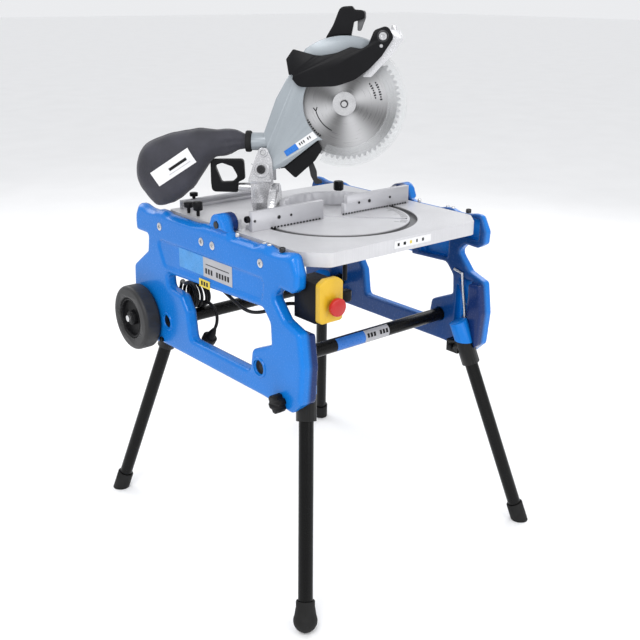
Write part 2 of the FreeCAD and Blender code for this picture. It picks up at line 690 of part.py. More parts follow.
def build_turntable():
    top, skin = size("table_top"), size("table_skin")
    disc = cylinder("disc_solid", "disc_radius", "table_skin", (0, 0, top - skin))
    slot = plate("blade_slot", "XZ_Plane", [outline([(-5, top + 1), (5, top + 1), (20, top - skin - 1),
                                                     (-5, top - skin - 1)])], -118, 284)
    pocket = box("hub_pocket", (-17, 132, top - skin - 1), (17, 173, top + 1))
    node(cut("turntable_disc", disc, slot, pocket), "turntable_disc", turned())

    near, far, reach = 133, 150, 74
    wall = plate("support_wall", "XZ_Plane",
                 [outline([(-reach, top), Arc((0, top), reach, 180, 0)])], -far, far - near)
    tongue = box("support_tongue", (-16.5, near, top - 12.5), (16.5, far, top + 1))
    foot = box("support_foot", (-62, near, top), (62, far, top + 12))
    slots = []
    shaft_ring = size("bevel_shaft_height") - top
    half_slot = size("bevel_shaft") / 2 + 0.5
    arc_slot = [Arc((0, top), shaft_ring + half_slot, 84, 142),
                Arc((0, top), shaft_ring - half_slot, 142, 84)]
    slots.append(plate("bevel_slot", "XZ_Plane", [outline(arc_slot)], -far - 1, far - near + 2))
    nut_ring = [Arc((0, top), shaft_ring + 9.5, 80, 146), Arc((0, top), shaft_ring - 10.5, 146, 80)]
    slots.append(plate("bevel_nut_room", "XZ_Plane", [outline(nut_ring)], -near - 9, 10))
    pin = lengthways("support_pin", "bevel_pin / 2", -170, -near, 0, top)
    node(fuse("bevel_support", cut("support_slotted", fuse("support_solid", wall, tongue, foot),
                                   *slots), pin),
         "bevel_support", turned())


def build_swing_arm():
    top = size("table_top")
    front, back, half = 150.3, 192, 29
    block = plate("arm_block", "XZ_Plane",
                  [outline([(0, top + 5), (half, top + 5), (half, 872), (-half, 872),
                            (-half, top + 34)])],
                  -back, back - front)
    hub = lengthways("arm_hub", 12, -170, -front, 0, top)
    neck = box("arm_neck", (-10, front, top), (12, 170, top + 10))
    cheek = [(-193, 866), (-199, 872, 4), (-181, 926, 16), (-172, 948, 10), (-154, 948, 10),
             (-143, 920, 16),
             (-141, 866)]
    cheeks = [slab("arm_cheek_%d" % k, cheek, start, 8) for k, start in enumerate((-30, 22))]
    bore = sideways("arm_bore", "pivot_pin / 2", -32, 64, size("pivot_forward"), size("pivot_height"))
    pin_bore = lengthways("arm_pin_bore", "bevel_pin / 2 + fit_gap", -172, -149, 0, top)
    shaft_bore = lengthways("arm_shaft_bore", "bevel_shaft / 2 + fit_gap", -200, -140, 0,
                            size("bevel_shaft_height"))
    window = sideways("arm_window", 5, -32, 10.5, -163, 938)
    solid = fuse("arm_solid", block, hub, neck, *cheeks)
    node(cut("swing_arm", solid, bore, pin_bore, shaft_bore, window), "swing_arm", turned())
    pin = sideways("pivot_pin", "pivot_pin / 2", -31, 62, size("pivot_forward"), size("pivot_height"))
    node(pin, "pivot_pin", turned().multiply(pin.Placement))

    shaft_height = size("bevel_shaft_height")
    collar = cone("collar_cone", 12, 10, 32, (0, 193, shaft_height), Y_AXIS)
    shaft = lengthways("collar_shaft", "bevel_shaft / 2", -226, -134.5, 0, shaft_height)
    nut = lengthways("collar_nut", 8.5, -141.5, -134.5, 0, shaft_height)
    node(fuse("bevel_shaft", collar, shaft, nut), "bevel_shaft", turned())
    loop = slab("handle_loop", [(-226, 841, 4), (-287, 841, 10), (-289, 862, 4), (-289, 916, 8),
                                (-212, 918, 8),
                                (-210, 872, 5), (-226, 864)], -8, 16)
    finger = slab("handle_hole", [(-238, 866, 5), (-264, 864, 5), (-279, 902, 6), (-262, 908, 6),
                                  (-238, 900, 6), (-226, 878, 6)],
                  -9, 18)
    node(cut("bevel_handle", loop, finger), "bevel_handle", turned())


def build_head():
    near, far, half = -15, 13, size("cover_half")
    forward, height = size("blade_forward"), size("blade_height")
    shell = slab("cover_shell", [
        blade_arc(size("cover_radius"), 50, 126), (-111, 1097), (-134, 1056, 40), (-162, 980, 12),
        (-155, 950, 8),
        (-172, 922, 8), (-188, 908, 10), (-186, 888, 10), (-160, 882, 8), (-137, 899, 6), (-116, 906),
        (-41, 966, 4),
        (0, 972, 20), (52, 985, 20), (74, 1040, 20), (76, 1116)], -half, 2 * half)
    room = sideways("cover_room", "cover_bore", near, far - near, forward, height)
    window = sideways("cover_window_cut", "cover_window", -half - 1, half + near + 2, forward, height)
    bearing = sideways("cover_bearing", 15, far - 1, half, forward, height)
    pivot = sideways("cover_pivot", "pivot_pin / 2 + fit_gap", -40, 80, size("pivot_forward"),
                     size("pivot_height"))
    port = lengthways("port_tube", "port_diameter / 2", -192, -140, 0, 958)
    port_bore = lengthways("port_bore", "port_diameter / 2 - 3", -193, -146, 0, 958)
    solid = fuse("cover_solid", cut("cover_body", shell, room, window, bearing), port)
    node(cut("head_cover", solid, pivot, port_bore), "head_cover", turned())

    motor_forward, motor_height, start = -39, 1061, size("motor_start")
    gearbox = slab("gearbox", [(-88, 1030, 30), (-60, 1100, 30), (20, 1108, 30), (60, 1060, 30),
                               (40, 1005, 20),
                               (-30, 1000, 20)], half, start - half)
    gear_bore = sideways("gear_bore", 15, half - 1, 13.5, forward, height)
    motor = sideways("motor_can", "motor_diameter / 2", start, size("motor_length"), motor_forward,
                     motor_height)
    cap_start = start + size("motor_length")
    cap = cylinder("motor_end", 30, 14, (cap_start, -motor_forward, motor_height), X_AXIS)
    vents = []
    for count in range(10):
        angle = math.radians(count * 36)
        place = (motor_forward + 46 * math.cos(angle), motor_height + 46 * math.sin(angle))
        vents.append(sideways("motor_vent_%d" % count, 4, cap_start - 26, 18, *place))
    node(cut("motor_housing", fuse("motor_solid", cut("gearbox_body", gearbox, gear_bore), motor, cap),
             *vents),
         "motor_housing", turned())

    grip = slab("grip_body", [(-30, 1180), (-11, 1212, 20), (4, 1250, 14), (34, 1252, 8), (36, 1228, 10),
                              (27, 1180)], 4, 30)
    foot_cut = sideways("grip_foot_cut", "cover_radius", -40, 40 + half, forward, height)
    wing = slab("grip_wing", [(20, 1246), (58, 1243, 8), (58, 1226, 5), (20, 1214)], 4, 7)
    axle = sideways("grip_axle", 2.5, 5, 27, 50, 1236)
    foot = slab("grip_foot", [(-30, 1168), (-30, 1181), (27, 1181), (27, 1168)], half, 12.5)
    node(fuse("main_handle", cut("grip_trimmed", grip, foot_cut), wing, axle, foot), "main_handle",
         turned())
    trigger = slab("trigger_body", [(43, 1242, 3), (59, 1242, 5), (60, 1228, 8), (50, 1200, 4),
                                    (42, 1200, 3),
                                    (42, 1226)], 12, 20)
    node(cut("trigger", trigger, sideways("trigger_bore", "2.5 + fit_gap", 10, 30, 50, 1236)),
         "trigger", turned())

    bracket = slab("bracket_plate", [(56, 1106, 4), (76, 1106, 8), (120, 1154, 6), (143, 1186, 6),
                                     (134, 1203, 8),
                                     (98, 1208, 12), (82, 1190, 10), (60, 1128)], -29, 7.5)
    block = slab("bracket_block", [(101, 1171), (118, 1159), (143, 1186, 6), (134, 1203, 8),
                                   (104, 1206)], -21.6, 34)
    knob = cylinder("bracket_knob", 6, 10, (-8, -122, 1203))
    hinge = sideways("bracket_hinge", 6, -41, 14, 99, 1192)
    link_arm = slab("bracket_link", [(101, 1172), (104, 1200), (84, 1196), (80, 1178)], -21.5, 34)
    inside = sideways("bracket_inside", "cover_radius - 0.2", -22, 40, forward, height)
    cover_side = cut("bracket_link_cut", link_arm, inside)
    node(fuse("front_bracket", bracket, block, knob, hinge, cover_side), "front_bracket", turned())

    guide = slab("deflector_body", [(-136, 897), (-116, 904), (-41, 965), (-31, 944, 4), (-47, 919, 8),
                                    (-92, 878, 5), (-117, 901)], -14, 28)
    blade_room = sideways("deflector_room", "blade_diameter / 2 + 4", -7, 14, forward, height)
    knife_slot = slab("knife_slot", [(-74, 930), (-56, 934), (-50, 905), (-70, 890)], -1.2, 2.4)
    node(cut("deflector", guide, blade_room, knife_slot), "deflector", turned())
    knife = slab("knife_body", [(-70, 924), (-58, 930), (-54, 917, 6), (-44, 893, 20), (-43, 877, 5),
                                (-33, 873),
                                (-31, 866, 3), (-47, 862, 8), (-58, 882, 12), (-62, 902)], -1.2, 2.4)
    node(knife, "riving_knife", turned())

    bag_neck = slab("bag_neck", [(-192.5, 977), (-207, 973, 6), (-222, 984, 8), (-300, 986), (-300, 927),
                                 (-248, 925, 10), (-226, 941, 10), (-192.5, 939)], -18, 36)
    bag_body = slab("bag_body", [(-290, 985), (-318, 987, 30), (-390, 972, 40), (-440, 950, 25),
                                 (-462, 900, 40),
                                 (-456, 857, 30), (-421, 806, 14), (-396, 805, 10), (-329, 850, 20),
                                 (-297, 890, 20), (-290, 928)], -46, 92)
    bag = fuse("bag_solid", bag_neck, bag_body)
    node(bag, "dust_bag", turned())

    arm = slab("guard_arm_body", [
        (-109, 1142, 4), (-94, 1163, 4), (-39, 1149, 60), (0, 1156, 60), (30, 1169, 10), (54, 1165, 16),
        (68, 1174, 10),
        (80, 1204, 14), (108, 1214, 12), (123, 1190, 14), (98, 1151, 20), (72, 1124, 40),
        (40, 1100, 60), (0, 1086, 80),
        (-82, 1083, 22), (-96, 1100), (-93, 1112, 3), (-103, 1107, 3)], -38, 7)
    arm_bore = sideways("guard_arm_bore", "6 + fit_gap", -50, 30, 99, 1192)
    node(cut("guard_arm", arm, arm_bore), "guard_arm", turned())


def build_blade():
    forward, height = size("blade_forward"), size("blade_height")
    teeth = int(size("blade_teeth"))
    tip, root = size("blade_diameter") / 2, size("blade_diameter") / 2 - 8
    centre = (-forward, height)
    points = []
    for count in range(teeth):
        angle = count * 360 / teeth
        for radius, shift in ((tip, 0), (tip - 1.2, 1.9), (root + 1, 2.6), (root, 3.9)):
            point = polar(centre, radius, angle + shift)
            points.append((point.x, point.y))
    half = size("blade_thickness") / 2
    disc = plate("blade_body", "YZ_Plane", [outline(points), circle(centre, 15)], -half,
                 "blade_thickness")
    node(disc, "saw_blade", turned())
    outer = sideways("outer_flange", "flange_diameter / 2", -half - 7, 7, forward, height)
    inner = sideways("inner_flange", "flange_diameter / 2", half, 8, forward, height)
    spindle = sideways("spindle", 14.95, -half, half + 32, forward, height)
    step = sideways("spindle_step", "14.95 - 2", 31, 1, forward, height)
    bolt = cylinder("arbor_bolt", 6, 7, (-half - 14, -forward, height), X_AXIS)
    node(fuse("arbor", outer, inner, cut("spindle_end", spindle, step), bolt), "arbor", turned())

    radius, tail, lead = size("guard_radius"), -113, 55
    solid = slab("guard_solid", [blade_arc(radius, tail, lead), blade_arc(96, lead, tail)], -13, 24)
    room = slab("guard_room", [blade_arc(radius - 3, tail - 4, lead + 4),
                               blade_arc(90, lead + 4, tail - 4)], -10.5, 19)
    node(cut("lower_guard", solid, room), "lower_guard", turned())


def settle_origin():
    """Move every node so that the origin lies under the middle of the whole."""
    doc.recompute()
    for sub_part in NODES:
        sub_part.Placement.Base = sub_part.Placement.Base + Vector(0, size("origin_shift"), 0)


build_stand()
build_legs()
build_wheels()
build_switch()
build_tool()
build_table()
build_turntable()
build_swing_arm()
build_head()
build_blade()
settle_origin()
doc.recompute()

# ---------------------------------------------------------------- checks and export

for obj in doc.Objects:
    if "Invalid" in obj.State or "Error" in obj.State:
        raise RuntimeError("%s did not build: %s" % (obj.Label, obj.State))
for sub_part in NODES:
    if sub_part.Shape.isNull() or not sub_part.Shape.isValid() or not sub_part.Shape.Solids:
        raise RuntimeError("%s has no valid shape" % sub_part.Label)

os.makedirs("parts", exist_ok=True)
for sub_part in NODES:
    sub_part.Shape.exportStep(os.path.join("parts", sub_part.Label + ".step"))
whole = Part.makeCompound([sub_part.Shape for sub_part in NODES]).BoundBox
print("%d nodes, box %s to %s" % (len(NODES), (whole.XMin, whole.YMin, whole.ZMin),
                                  (whole.XMax, whole.YMax, whole.ZMax)))
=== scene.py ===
"""Looks of the mitre saw on its stand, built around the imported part. Metres, the part's own frame.

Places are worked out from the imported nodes' boxes. The saw's own pieces are placed with saw_point,
along and
across the cut; the stand's and the table's smaller pieces with drawn,
which counts from the drawing's middle.
"""

import json
from math import acos, atan2, copysign, cos, exp, pi, radians, sin, sqrt, tan

import bmesh
import bpy
import numpy as np
from mathutils import Matrix, Vector, noise
from mathutils.bvhtree import BVHTree


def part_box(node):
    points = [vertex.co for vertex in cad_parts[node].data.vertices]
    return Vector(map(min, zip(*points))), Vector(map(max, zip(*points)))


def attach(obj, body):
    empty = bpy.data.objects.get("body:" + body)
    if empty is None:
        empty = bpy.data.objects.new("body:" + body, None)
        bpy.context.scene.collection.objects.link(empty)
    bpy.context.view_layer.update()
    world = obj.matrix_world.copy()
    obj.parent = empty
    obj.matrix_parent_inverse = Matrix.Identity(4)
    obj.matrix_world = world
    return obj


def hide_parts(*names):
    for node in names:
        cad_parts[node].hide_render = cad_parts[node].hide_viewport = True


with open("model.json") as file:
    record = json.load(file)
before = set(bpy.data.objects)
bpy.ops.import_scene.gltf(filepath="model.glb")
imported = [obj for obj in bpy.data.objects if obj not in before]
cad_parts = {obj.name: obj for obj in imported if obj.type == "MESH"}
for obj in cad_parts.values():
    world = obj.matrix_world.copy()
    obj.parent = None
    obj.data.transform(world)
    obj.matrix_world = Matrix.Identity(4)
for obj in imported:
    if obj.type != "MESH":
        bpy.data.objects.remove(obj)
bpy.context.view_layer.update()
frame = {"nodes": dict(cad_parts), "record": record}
NODES = frame["nodes"]

MM = 0.001
UP = Vector((0, 0, 1))


def middle(node):
    """The middle of a node's box."""
    low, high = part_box(node)
    return (low + high) / 2


SAW_BACK = middle("turntable_disc").y      # the turntable's axis
DRAWN_SAW_BACK = -0.0915                   # the same axis, counted from the drawing's middle
SHIFT = SAW_BACK - DRAWN_SAW_BACK
TABLE_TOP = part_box("turntable_disc")[1].z
FRAME_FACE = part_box("side_frame_right")[1].x
FRAME_TOP = 0.790
PIVOT = (-0.168, 0.900)         # the swing arm's pivot, in the saw's side view
BLADE_AXIS = (0.017, 1.046)     # the blade's axis, in the saw's side view


def drawn(x, back, up):
    """A point of the drawings in the part's frame."""
    return Vector((x, back + SHIFT, up))


def saw_point(forward, aside, up):
    """A point given along the cut, to the motor's side and upwards, in the part's frame."""
    turn = sqrt(0.5)
    return Vector((turn * (aside + forward), turn * (aside - forward) + SAW_BACK, up))


SAW_ASIDE = (saw_point(0, 1, 0) - saw_point(0, 0, 0)).normalized()
SAW_FORWARD = (saw_point(1, 0, 0) - saw_point(0, 0, 0)).normalized()


# ---------------------------------------------------------------- camera, light, floor

def add_camera():
    azimuth, pitch, roll = (radians(a) for a in (40.108, 19.602, 0.422))
    ahead = Vector((sin(azimuth) * cos(pitch), cos(azimuth) * cos(pitch),
                    -sin(pitch)))
    level = Vector((cos(azimuth), -sin(azimuth), 0))
    above = level.cross(ahead)
    right = level * cos(roll) + above * sin(roll)
    up = above * cos(roll) - level * sin(roll)
    data = bpy.data.cameras.new("camera")
    data.lens = 52.30
    data.sensor_width = 36
    data.clip_end = 60
    camera = bpy.data.objects.new("camera", data)
    camera.matrix_world = Matrix.LocRotScale(drawn(-1.3878, -1.6862, 1.2858), None, None) @ \
        Matrix((right, up, -ahead)).transposed().to_4x4()
    bpy.context.collection.objects.link(camera)
    bpy.context.scene.camera = camera


def add_light(name, place, target, side, power):
    data = bpy.data.lights.new(name, "AREA")
    data.shape = "SQUARE"
    data.size = side
    data.energy = power
    lamp = bpy.data.objects.new(name, data)
    lamp.location = place
    lamp.rotation_euler = (Vector(target) - Vector(place)).to_track_quat("-Z", "Y").to_euler()
    bpy.context.collection.objects.link(lamp)


def add_studio():
    world = bpy.data.worlds.new("studio")
    bpy.context.scene.world = world
    world.use_nodes = True
    sky = world.node_tree.nodes["Background"]
    sky.inputs["Color"].default_value = (0.97, 0.98, 1.0, 1)
    sky.inputs["Strength"].default_value = 0.86
    target = (0, 0, 0.7)
    add_light("key", (-2.4, -1.6, 2.9), target, 1.6, 66)
    add_light("front", (0.4, -3.4, 1.9), target, 2.0, 34)
    add_light("side", (3.0, 0.6, 2.2), target, 1.8, 34)
    add_light("back", (-0.6, 3.2, 2.6), target, 1.8, 30)
    bpy.context.scene.view_settings.view_transform = "Standard"
    mesh = bpy.data.meshes.new("floor")
    far = 40
    mesh.from_pydata([(-far, -far, 0), (far, -far, 0), (far, far, 0), (-far, far, 0)], [], [(0, 1, 2, 3)])
    floor = bpy.data.objects.new("floor", mesh)
    bpy.context.collection.objects.link(floor)
    floor.data.materials.append(finish("floor_paper", (0.93, 0.93, 0.932), 0.7, vary=0.015, grain=3,
                                       bump=0))


# ---------------------------------------------------------------- materials

class Graph:
    """A short way to write a material's nodes."""

    def __init__(self, name):
        self.material = bpy.data.materials.new(name)
        self.material.use_nodes = True
        self.tree = self.material.node_tree
        self.shader = self.tree.nodes["Principled BSDF"]
        self.place = self.node("ShaderNodeTexCoord").outputs["Object"]

    def node(self, kind, **settings):
        made = self.tree.nodes.new(kind)
        for key, value in settings.items():
            setattr(made, key, value)
        return made

    def join(self, source, target):
        self.tree.links.new(source, target)

    def math(self, operation, first, second=0.0, third=0.0):
        made = self.node("ShaderNodeMath", operation=operation)
        for socket, value in zip(made.inputs, (first, second, third)):
            if isinstance(value, (int, float)):
                socket.default_value = value
            else:
                self.join(value, socket)
        return made.outputs[0]

    def mix(self, factor, first, second):
        made = self.node("ShaderNodeMix", data_type="RGBA")
        sockets = (made.inputs["Factor"], made.inputs[6], made.inputs[7])
        for socket, value in zip(sockets, (factor, first, second)):
            if isinstance(value, tuple):
                socket.default_value = (*value, 1)
            elif isinstance(value, (int, float)):
                socket.default_value = value
            else:
                self.join(value, socket)
        return made.outputs[2]

    def noise(self, scale, detail=3.0, where=None, stretch=None):
        made = self.node("ShaderNodeTexNoise")
        made.inputs["Scale"].default_value = scale
        made.inputs["Detail"].default_value = detail
        source = where or self.place
        if stretch:
            scaled = self.node("ShaderNodeVectorMath", operation="MULTIPLY")
            scaled.inputs[1].default_value = stretch
            self.join(source, scaled.inputs[0])
            source = scaled.outputs[0]
        self.join(source, made.inputs["Vector"])
        return made.outputs["Fac"]

    def span(self, value, low, high, start=0.0, end=1.0):
        made = self.node("ShaderNodeMapRange")
        made.inputs["From Min"].default_value = start
        made.inputs["From Max"].default_value = end
        made.inputs["To Min"].default_value = low
        made.inputs["To Max"].default_value = high
        self.join(value, made.inputs["Value"])
        return made.outputs[0]

    def parts(self, vector=None):
        made = self.node("ShaderNodeSeparateXYZ")
        self.join(vector or self.place, made.inputs[0])
        return made.outputs

    def colour(self, socket):
        self.join(socket, self.shader.inputs["Base Color"])

    def bump(self, height, strength, distance=0.0005):
        made = self.node("ShaderNodeBump")
        made.inputs["Strength"].default_value = strength
        made.inputs["Distance"].default_value = distance
        self.join(height, made.inputs["Height"])
        self.join(made.outputs[0], self.shader.inputs["Normal"])


def tint(colour, factor):
    return tuple(min(1.0, max(0.0, c * factor)) for c in colour)


def base_graph(name, colour, rough, vary, grain, detail_grain, bump, sockets, stretch=None):
    graph = Graph(name)
    for key, value in sockets.items():
        graph.shader.inputs[key.replace("_", " ")].default_value = value
    blotch = graph.span(graph.noise(grain, 4, stretch=stretch), 0, 1, 0.3, 0.7)
    shade = graph.mix(blotch, tint(colour, 1 - vary), tint(colour, 1 + vary))
    fine = graph.noise(detail_grain, 2, stretch=stretch)
    roughness = graph.span(fine, max(0.02, rough - 0.06), rough + 0.06, 0.3, 0.7)
    graph.join(roughness, graph.shader.inputs["Roughness"])
    if bump:
        graph.bump(fine, bump)
    return graph, shade


def finish(name, colour, rough, vary=0.06, grain=25, detail_grain=600, bump=0.15, stretch=None,
           **sockets):
    """A plain finish: two tints in blotches, and a fine grain in roughness and relief."""
    graph, shade = base_graph(name, colour, rough, vary, grain, detail_grain, bump, sockets, stretch)
    graph.colour(shade)
    return graph.material


def enamel_with_painted_shade(name, bright, dark):
    """The frames' glossy paint, brighter outside, with painted shade: dark on the faces of the hollows that
    face the middle.
    """
    graph, shade = base_graph(name, bright, 0.24, 0.05, 9, 260, 0.10,
                              {"Coat_Weight": 0.15, "Coat_Roughness": 0.08, "Specular_IOR_Level": 0.2})
    # painted shade: where the frame lies nearer the middle than its outer face, the paint is mixed to the
    # dark colour
    aside = graph.math("ABSOLUTE", graph.parts()["X"])
    inner = graph.span(aside, 1, 0, FRAME_FACE - 0.030, FRAME_FACE - 0.018)
    graph.colour(graph.mix(inner, shade, dark))
    return graph.material


def socket_finish(name, high, low, height):
    """Painted above a height and black below it."""
    graph, shade = base_graph(name, low, 0.35, 0.1, 30, 500, 0.1, {"Specular_IOR_Level": 0.25})
    up = graph.parts()["Z"]
    graph.colour(graph.mix(graph.math("GREATER_THAN", up, height), shade, high))
    return graph.material


def round_saw_axis(graph):
    """Radius and angle of a point about the blade's axis."""
    centre = saw_point(BLADE_AXIS[0], 0, BLADE_AXIS[1])
    moved = graph.node("ShaderNodeVectorMath", operation="SUBTRACT")
    moved.inputs[1].default_value = centre
    graph.join(graph.place, moved.inputs[0])
    along = graph.node("ShaderNodeVectorMath", operation="DOT_PRODUCT")
    along.inputs[1].default_value = SAW_FORWARD
    graph.join(moved.outputs[0], along.inputs[0])
    up = graph.parts(moved.outputs[0])["Z"]
    forward = along.outputs["Value"]
    radius = graph.math("SQRT", graph.math("ADD", graph.math("MULTIPLY", forward, forward),
                                           graph.math("MULTIPLY", up, up)))
    return radius, graph.math("ARCTAN2", up, forward)


def ground_steel(name):
    """The blade: ground in circles, with a fan of painted highlight mixed into its colour."""
    graph = Graph(name)
    radius, angle = round_saw_axis(graph)
    around = graph.node("ShaderNodeCombineXYZ")
    graph.join(graph.math("MULTIPLY", radius, 900.0), around.inputs[0])
    graph.join(graph.math("MULTIPLY", angle, 1.2), around.inputs[1])
    rings = graph.noise(1.0, 3, where=around.outputs[0])
    # painted highlight: four light sweeps around the axis, mixed towards a pale grey
    wave = graph.math("SINE", graph.math("MULTIPLY", angle, 4.0))
    painted_highlight_fan = graph.math("ADD", graph.math("MULTIPLY", wave, 0.5), 0.5)
    base = graph.mix(graph.span(rings, 0, 1, 0.3, 0.7), (0.13, 0.13, 0.132), (0.18, 0.18, 0.182))
    lit = graph.mix(graph.math("MULTIPLY", painted_highlight_fan, 0.75), base, (0.60, 0.60, 0.61))
    rim = graph.math("GREATER_THAN", radius, 0.1165)
    graph.colour(graph.mix(rim, lit, (0.42, 0.42, 0.43)))
    graph.join(graph.span(rings, 0.26, 0.40, 0.3, 0.7), graph.shader.inputs["Roughness"])
    graph.shader.inputs["Metallic"].default_value = 0.55
    graph.bump(rings, 0.08, 0.0002)
    return graph.material


def ring_aluminium(name, colour):
    """The turntable's face, turned on a lathe, with painted shade in its ring groove."""
    graph = Graph(name)
    x, y, z = (graph.parts()[k] for k in "XYZ")
    across = graph.math("ADD", y, -SAW_BACK)
    radius = graph.math("SQRT", graph.math("ADD", graph.math("MULTIPLY", x, x),
                                           graph.math("MULTIPLY", across, across)))
    groove = graph.node("ShaderNodeCombineXYZ")
    graph.join(graph.math("MULTIPLY", radius, 700.0), groove.inputs[0])
    lathe = graph.noise(1.0, 2, where=groove.outputs[0])
    blotch = graph.span(graph.noise(14, 4), 0, 1, 0.3, 0.7)
    shade = graph.mix(blotch, tint(colour, 0.93), tint(colour, 1.05))
    lines = graph.math("MULTIPLY", graph.span(lathe, 0, 1, 0.35, 0.65), 0.35)
    shade = graph.mix(lines, shade, tint(colour, 0.8))
    # painted shade: the ring groove below the table's top is coloured dark grey
    low = graph.math("LESS_THAN", z, TABLE_TOP - 0.002)
    beyond = graph.math("GREATER_THAN", radius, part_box("turntable_disc")[1].x - 0.003)
    groove_ring = graph.math("MULTIPLY", beyond, graph.math("LESS_THAN", radius, 0.1905))
    groove_painted_shade = graph.math("MULTIPLY", low, groove_ring)
    graph.colour(graph.mix(groove_painted_shade, shade, (0.16, 0.16, 0.165)))
    graph.join(graph.span(lathe, 0.32, 0.46, 0.3, 0.7), graph.shader.inputs["Roughness"])
    graph.shader.inputs["Metallic"].default_value = 0.35
    graph.bump(lathe, 0.10, 0.0003)
    return graph.material


def clear_plastic(name):
    graph, shade = base_graph(name, (0.55, 0.57, 0.58), 0.12, 0.03, 30, 200, 0.05, {})
    graph.colour(shade)
    graph.shader.inputs["Alpha"].default_value = 0.12
    graph.material.surface_render_method = "BLENDED"
    return graph.material


def cloth(name, colour):
    """Woven cloth: two crossed sets of fine threads in relief, over soft blotches."""
    graph = Graph(name)
    blotch = graph.span(graph.noise(18, 5), 0, 1, 0.3, 0.7)
    shade = graph.mix(blotch, tint(colour, 0.75), tint(colour, 1.35))
    x, y, z = (graph.parts()[k] for k in "XYZ")
    warp = graph.math("SINE", graph.math("MULTIPLY", graph.math("ADD", x, z), 4200.0))
    weft = graph.math("SINE", graph.math("MULTIPLY", graph.math("SUBTRACT", y, z), 4200.0))
    weave = graph.math("MULTIPLY", warp, weft)
    creases = graph.math("ADD", graph.math("MULTIPLY", weave, 0.12), graph.noise(55, 4))
    graph.colour(shade)
    graph.bump(creases, 0.35, 0.0012)
    graph.shader.inputs["Sheen Weight"].default_value = 0.12
    graph.shader.inputs["Sheen Roughness"].default_value = 0.5
    graph.join(graph.span(weave, 0.68, 0.85, -1, 1), graph.shader.inputs["Roughness"])
    return graph.material


AZURE = (0.003, 0.152, 0.530)
# the next colour is painted shade for the frames' inner faces
PAINTED_SHADE_NAVY = (0.004, 0.020, 0.100)
ALUMINIUM = (0.44, 0.44, 0.465)
BLACK = (0.003, 0.003, 0.003)
DULL = {"Specular_IOR_Level": 0.12}      # how little the dark plastics and rubbers mirror

FINISHES = {
    "frame_paint": enamel_with_painted_shade("frame_paint_with_painted_shade_look", AZURE, PAINTED_SHADE_NAVY),
    "socket": socket_finish("socket_look", AZURE, BLACK, 0.480),
    "black_tube": finish("tube_look", BLACK, 0.26, grain=40, bump=0.06, Specular_IOR_Level=0.16),
    "black_plastic": finish("moulded_look", (0.006, 0.006, 0.007), 0.42, 0.12, 30, 900, 0.25, **DULL),
    "rubber": finish("rubber_look", (0.014, 0.014, 0.014), 0.62, 0.15, 40, 700, 0.3, **DULL),
    "tyre": finish("tyre_look", (0.022, 0.022, 0.023), 0.46, 0.15, 40, 500, 0.3, Specular_IOR_Level=0.35),
    "steel": finish("steel_look", (0.60, 0.60, 0.61), 0.28, 0.08, 60, 900, 0.1, Metallic=0.9),
    "dark_steel": finish("dark_steel_look", (0.025, 0.025, 0.027), 0.36, 0.1, 60, 900, 0.1, Metallic=0.5),
    "cast_aluminium": finish("cast_look", ALUMINIUM, 0.42, 0.05, 18, 650, 0.22, Metallic=0.20),
    "bright_aluminium": finish("bright_cast_look", (0.52, 0.52, 0.535), 0.25, 0.05, 18, 500, 0.18,
                               Metallic=0.5),
    "machined": ring_aluminium("machined_with_groove_shade_look", (0.60, 0.60, 0.62)),
    "cover_paint": finish("cover_look", (0.28, 0.31, 0.335), 0.33, 0.04, 12, 500, 0.12, Metallic=0.15),
    "blade_steel": ground_steel("blade_look"),
    "clear_plastic": clear_plastic("guard_look"),
    "yellow_plastic": finish("yellow_look", (0.58, 0.36, 0.014), 0.38, 0.05, 30, 700, 0.12),
    "red_plastic": finish("red_look", (0.42, 0.008, 0.008), 0.34, 0.06, 30, 700, 0.10),
    "bag_fabric": cloth("bag_look", (0.024, 0.024, 0.033)),
    "cord_rubber": finish("cord_look", (0.012, 0.012, 0.013), 0.40, 0.12, 60, 800, 0.15, **DULL),
    "label_blue": finish("label_blue_look", (0.012, 0.14, 0.50), 0.30, 0.08, 40, 400, 0.03),
    "label_sky": finish("label_sky_look", (0.035, 0.24, 0.58), 0.30, 0.10, 30, 400, 0.03),
    "label_grey": finish("label_grey_look", (0.36, 0.36, 0.38), 0.32, 0.05, 40, 400, 0.03),
    "label_white": finish("label_white_look", (0.68, 0.68, 0.69), 0.38, 0.03, 40, 400, 0.03),
    "label_yellow": finish("label_yellow_look", (0.60, 0.46, 0.02), 0.35, 0.05, 40, 400, 0.03),
    "print": finish("print_look", (0.012, 0.012, 0.013), 0.45, 0.1, 60, 500, 0.03, **DULL),
    "grey_grip": finish("grip_grey_look", (0.13, 0.13, 0.135), 0.42, 0.08, 40, 900, 0.2, **DULL),
}

NODE_FINISH = {     # by how a node's name starts; the rest are black_plastic
    "side_frame": "frame_paint", "cross_tube": "black_tube", "frame_inserts": "steel",
    "wheel_axles": "steel", "trunnion_pins": "dark_steel", "switch_cover": "yellow_plastic",
    "cord_run": "cord_rubber", "cord_hank": "cord_rubber", "cord_tail": "cord_rubber",
    "hex_key": "steel", "leg_socket": "socket", "table_plate": "machined", "fence_screws": "dark_steel",
    "fence": "cast_aluminium", "rear_bar": "cast_aluminium", "turntable_disc": "machined",
    "bevel_support": "bright_aluminium", "swing_arm": "bright_aluminium", "pivot_pin": "steel",
    "bevel_shaft": "steel", "head_cover": "cover_paint", "front_bracket": "bright_aluminium",
    "riving_knife": "dark_steel", "dust_bag": "bag_fabric", "trigger": "grey_grip",
    "saw_blade": "blade_steel", "arbor": "steel", "lower_guard": "clear_plastic",
    "stop_button": "red_plastic", "leg_tube": "black_tube", "leg_foot": "rubber", "wheel_tyre": "tyre",
}


def finish_of(node):
    return next((look for start, look in NODE_FINISH.items() if node.startswith(start)), "black_plastic")


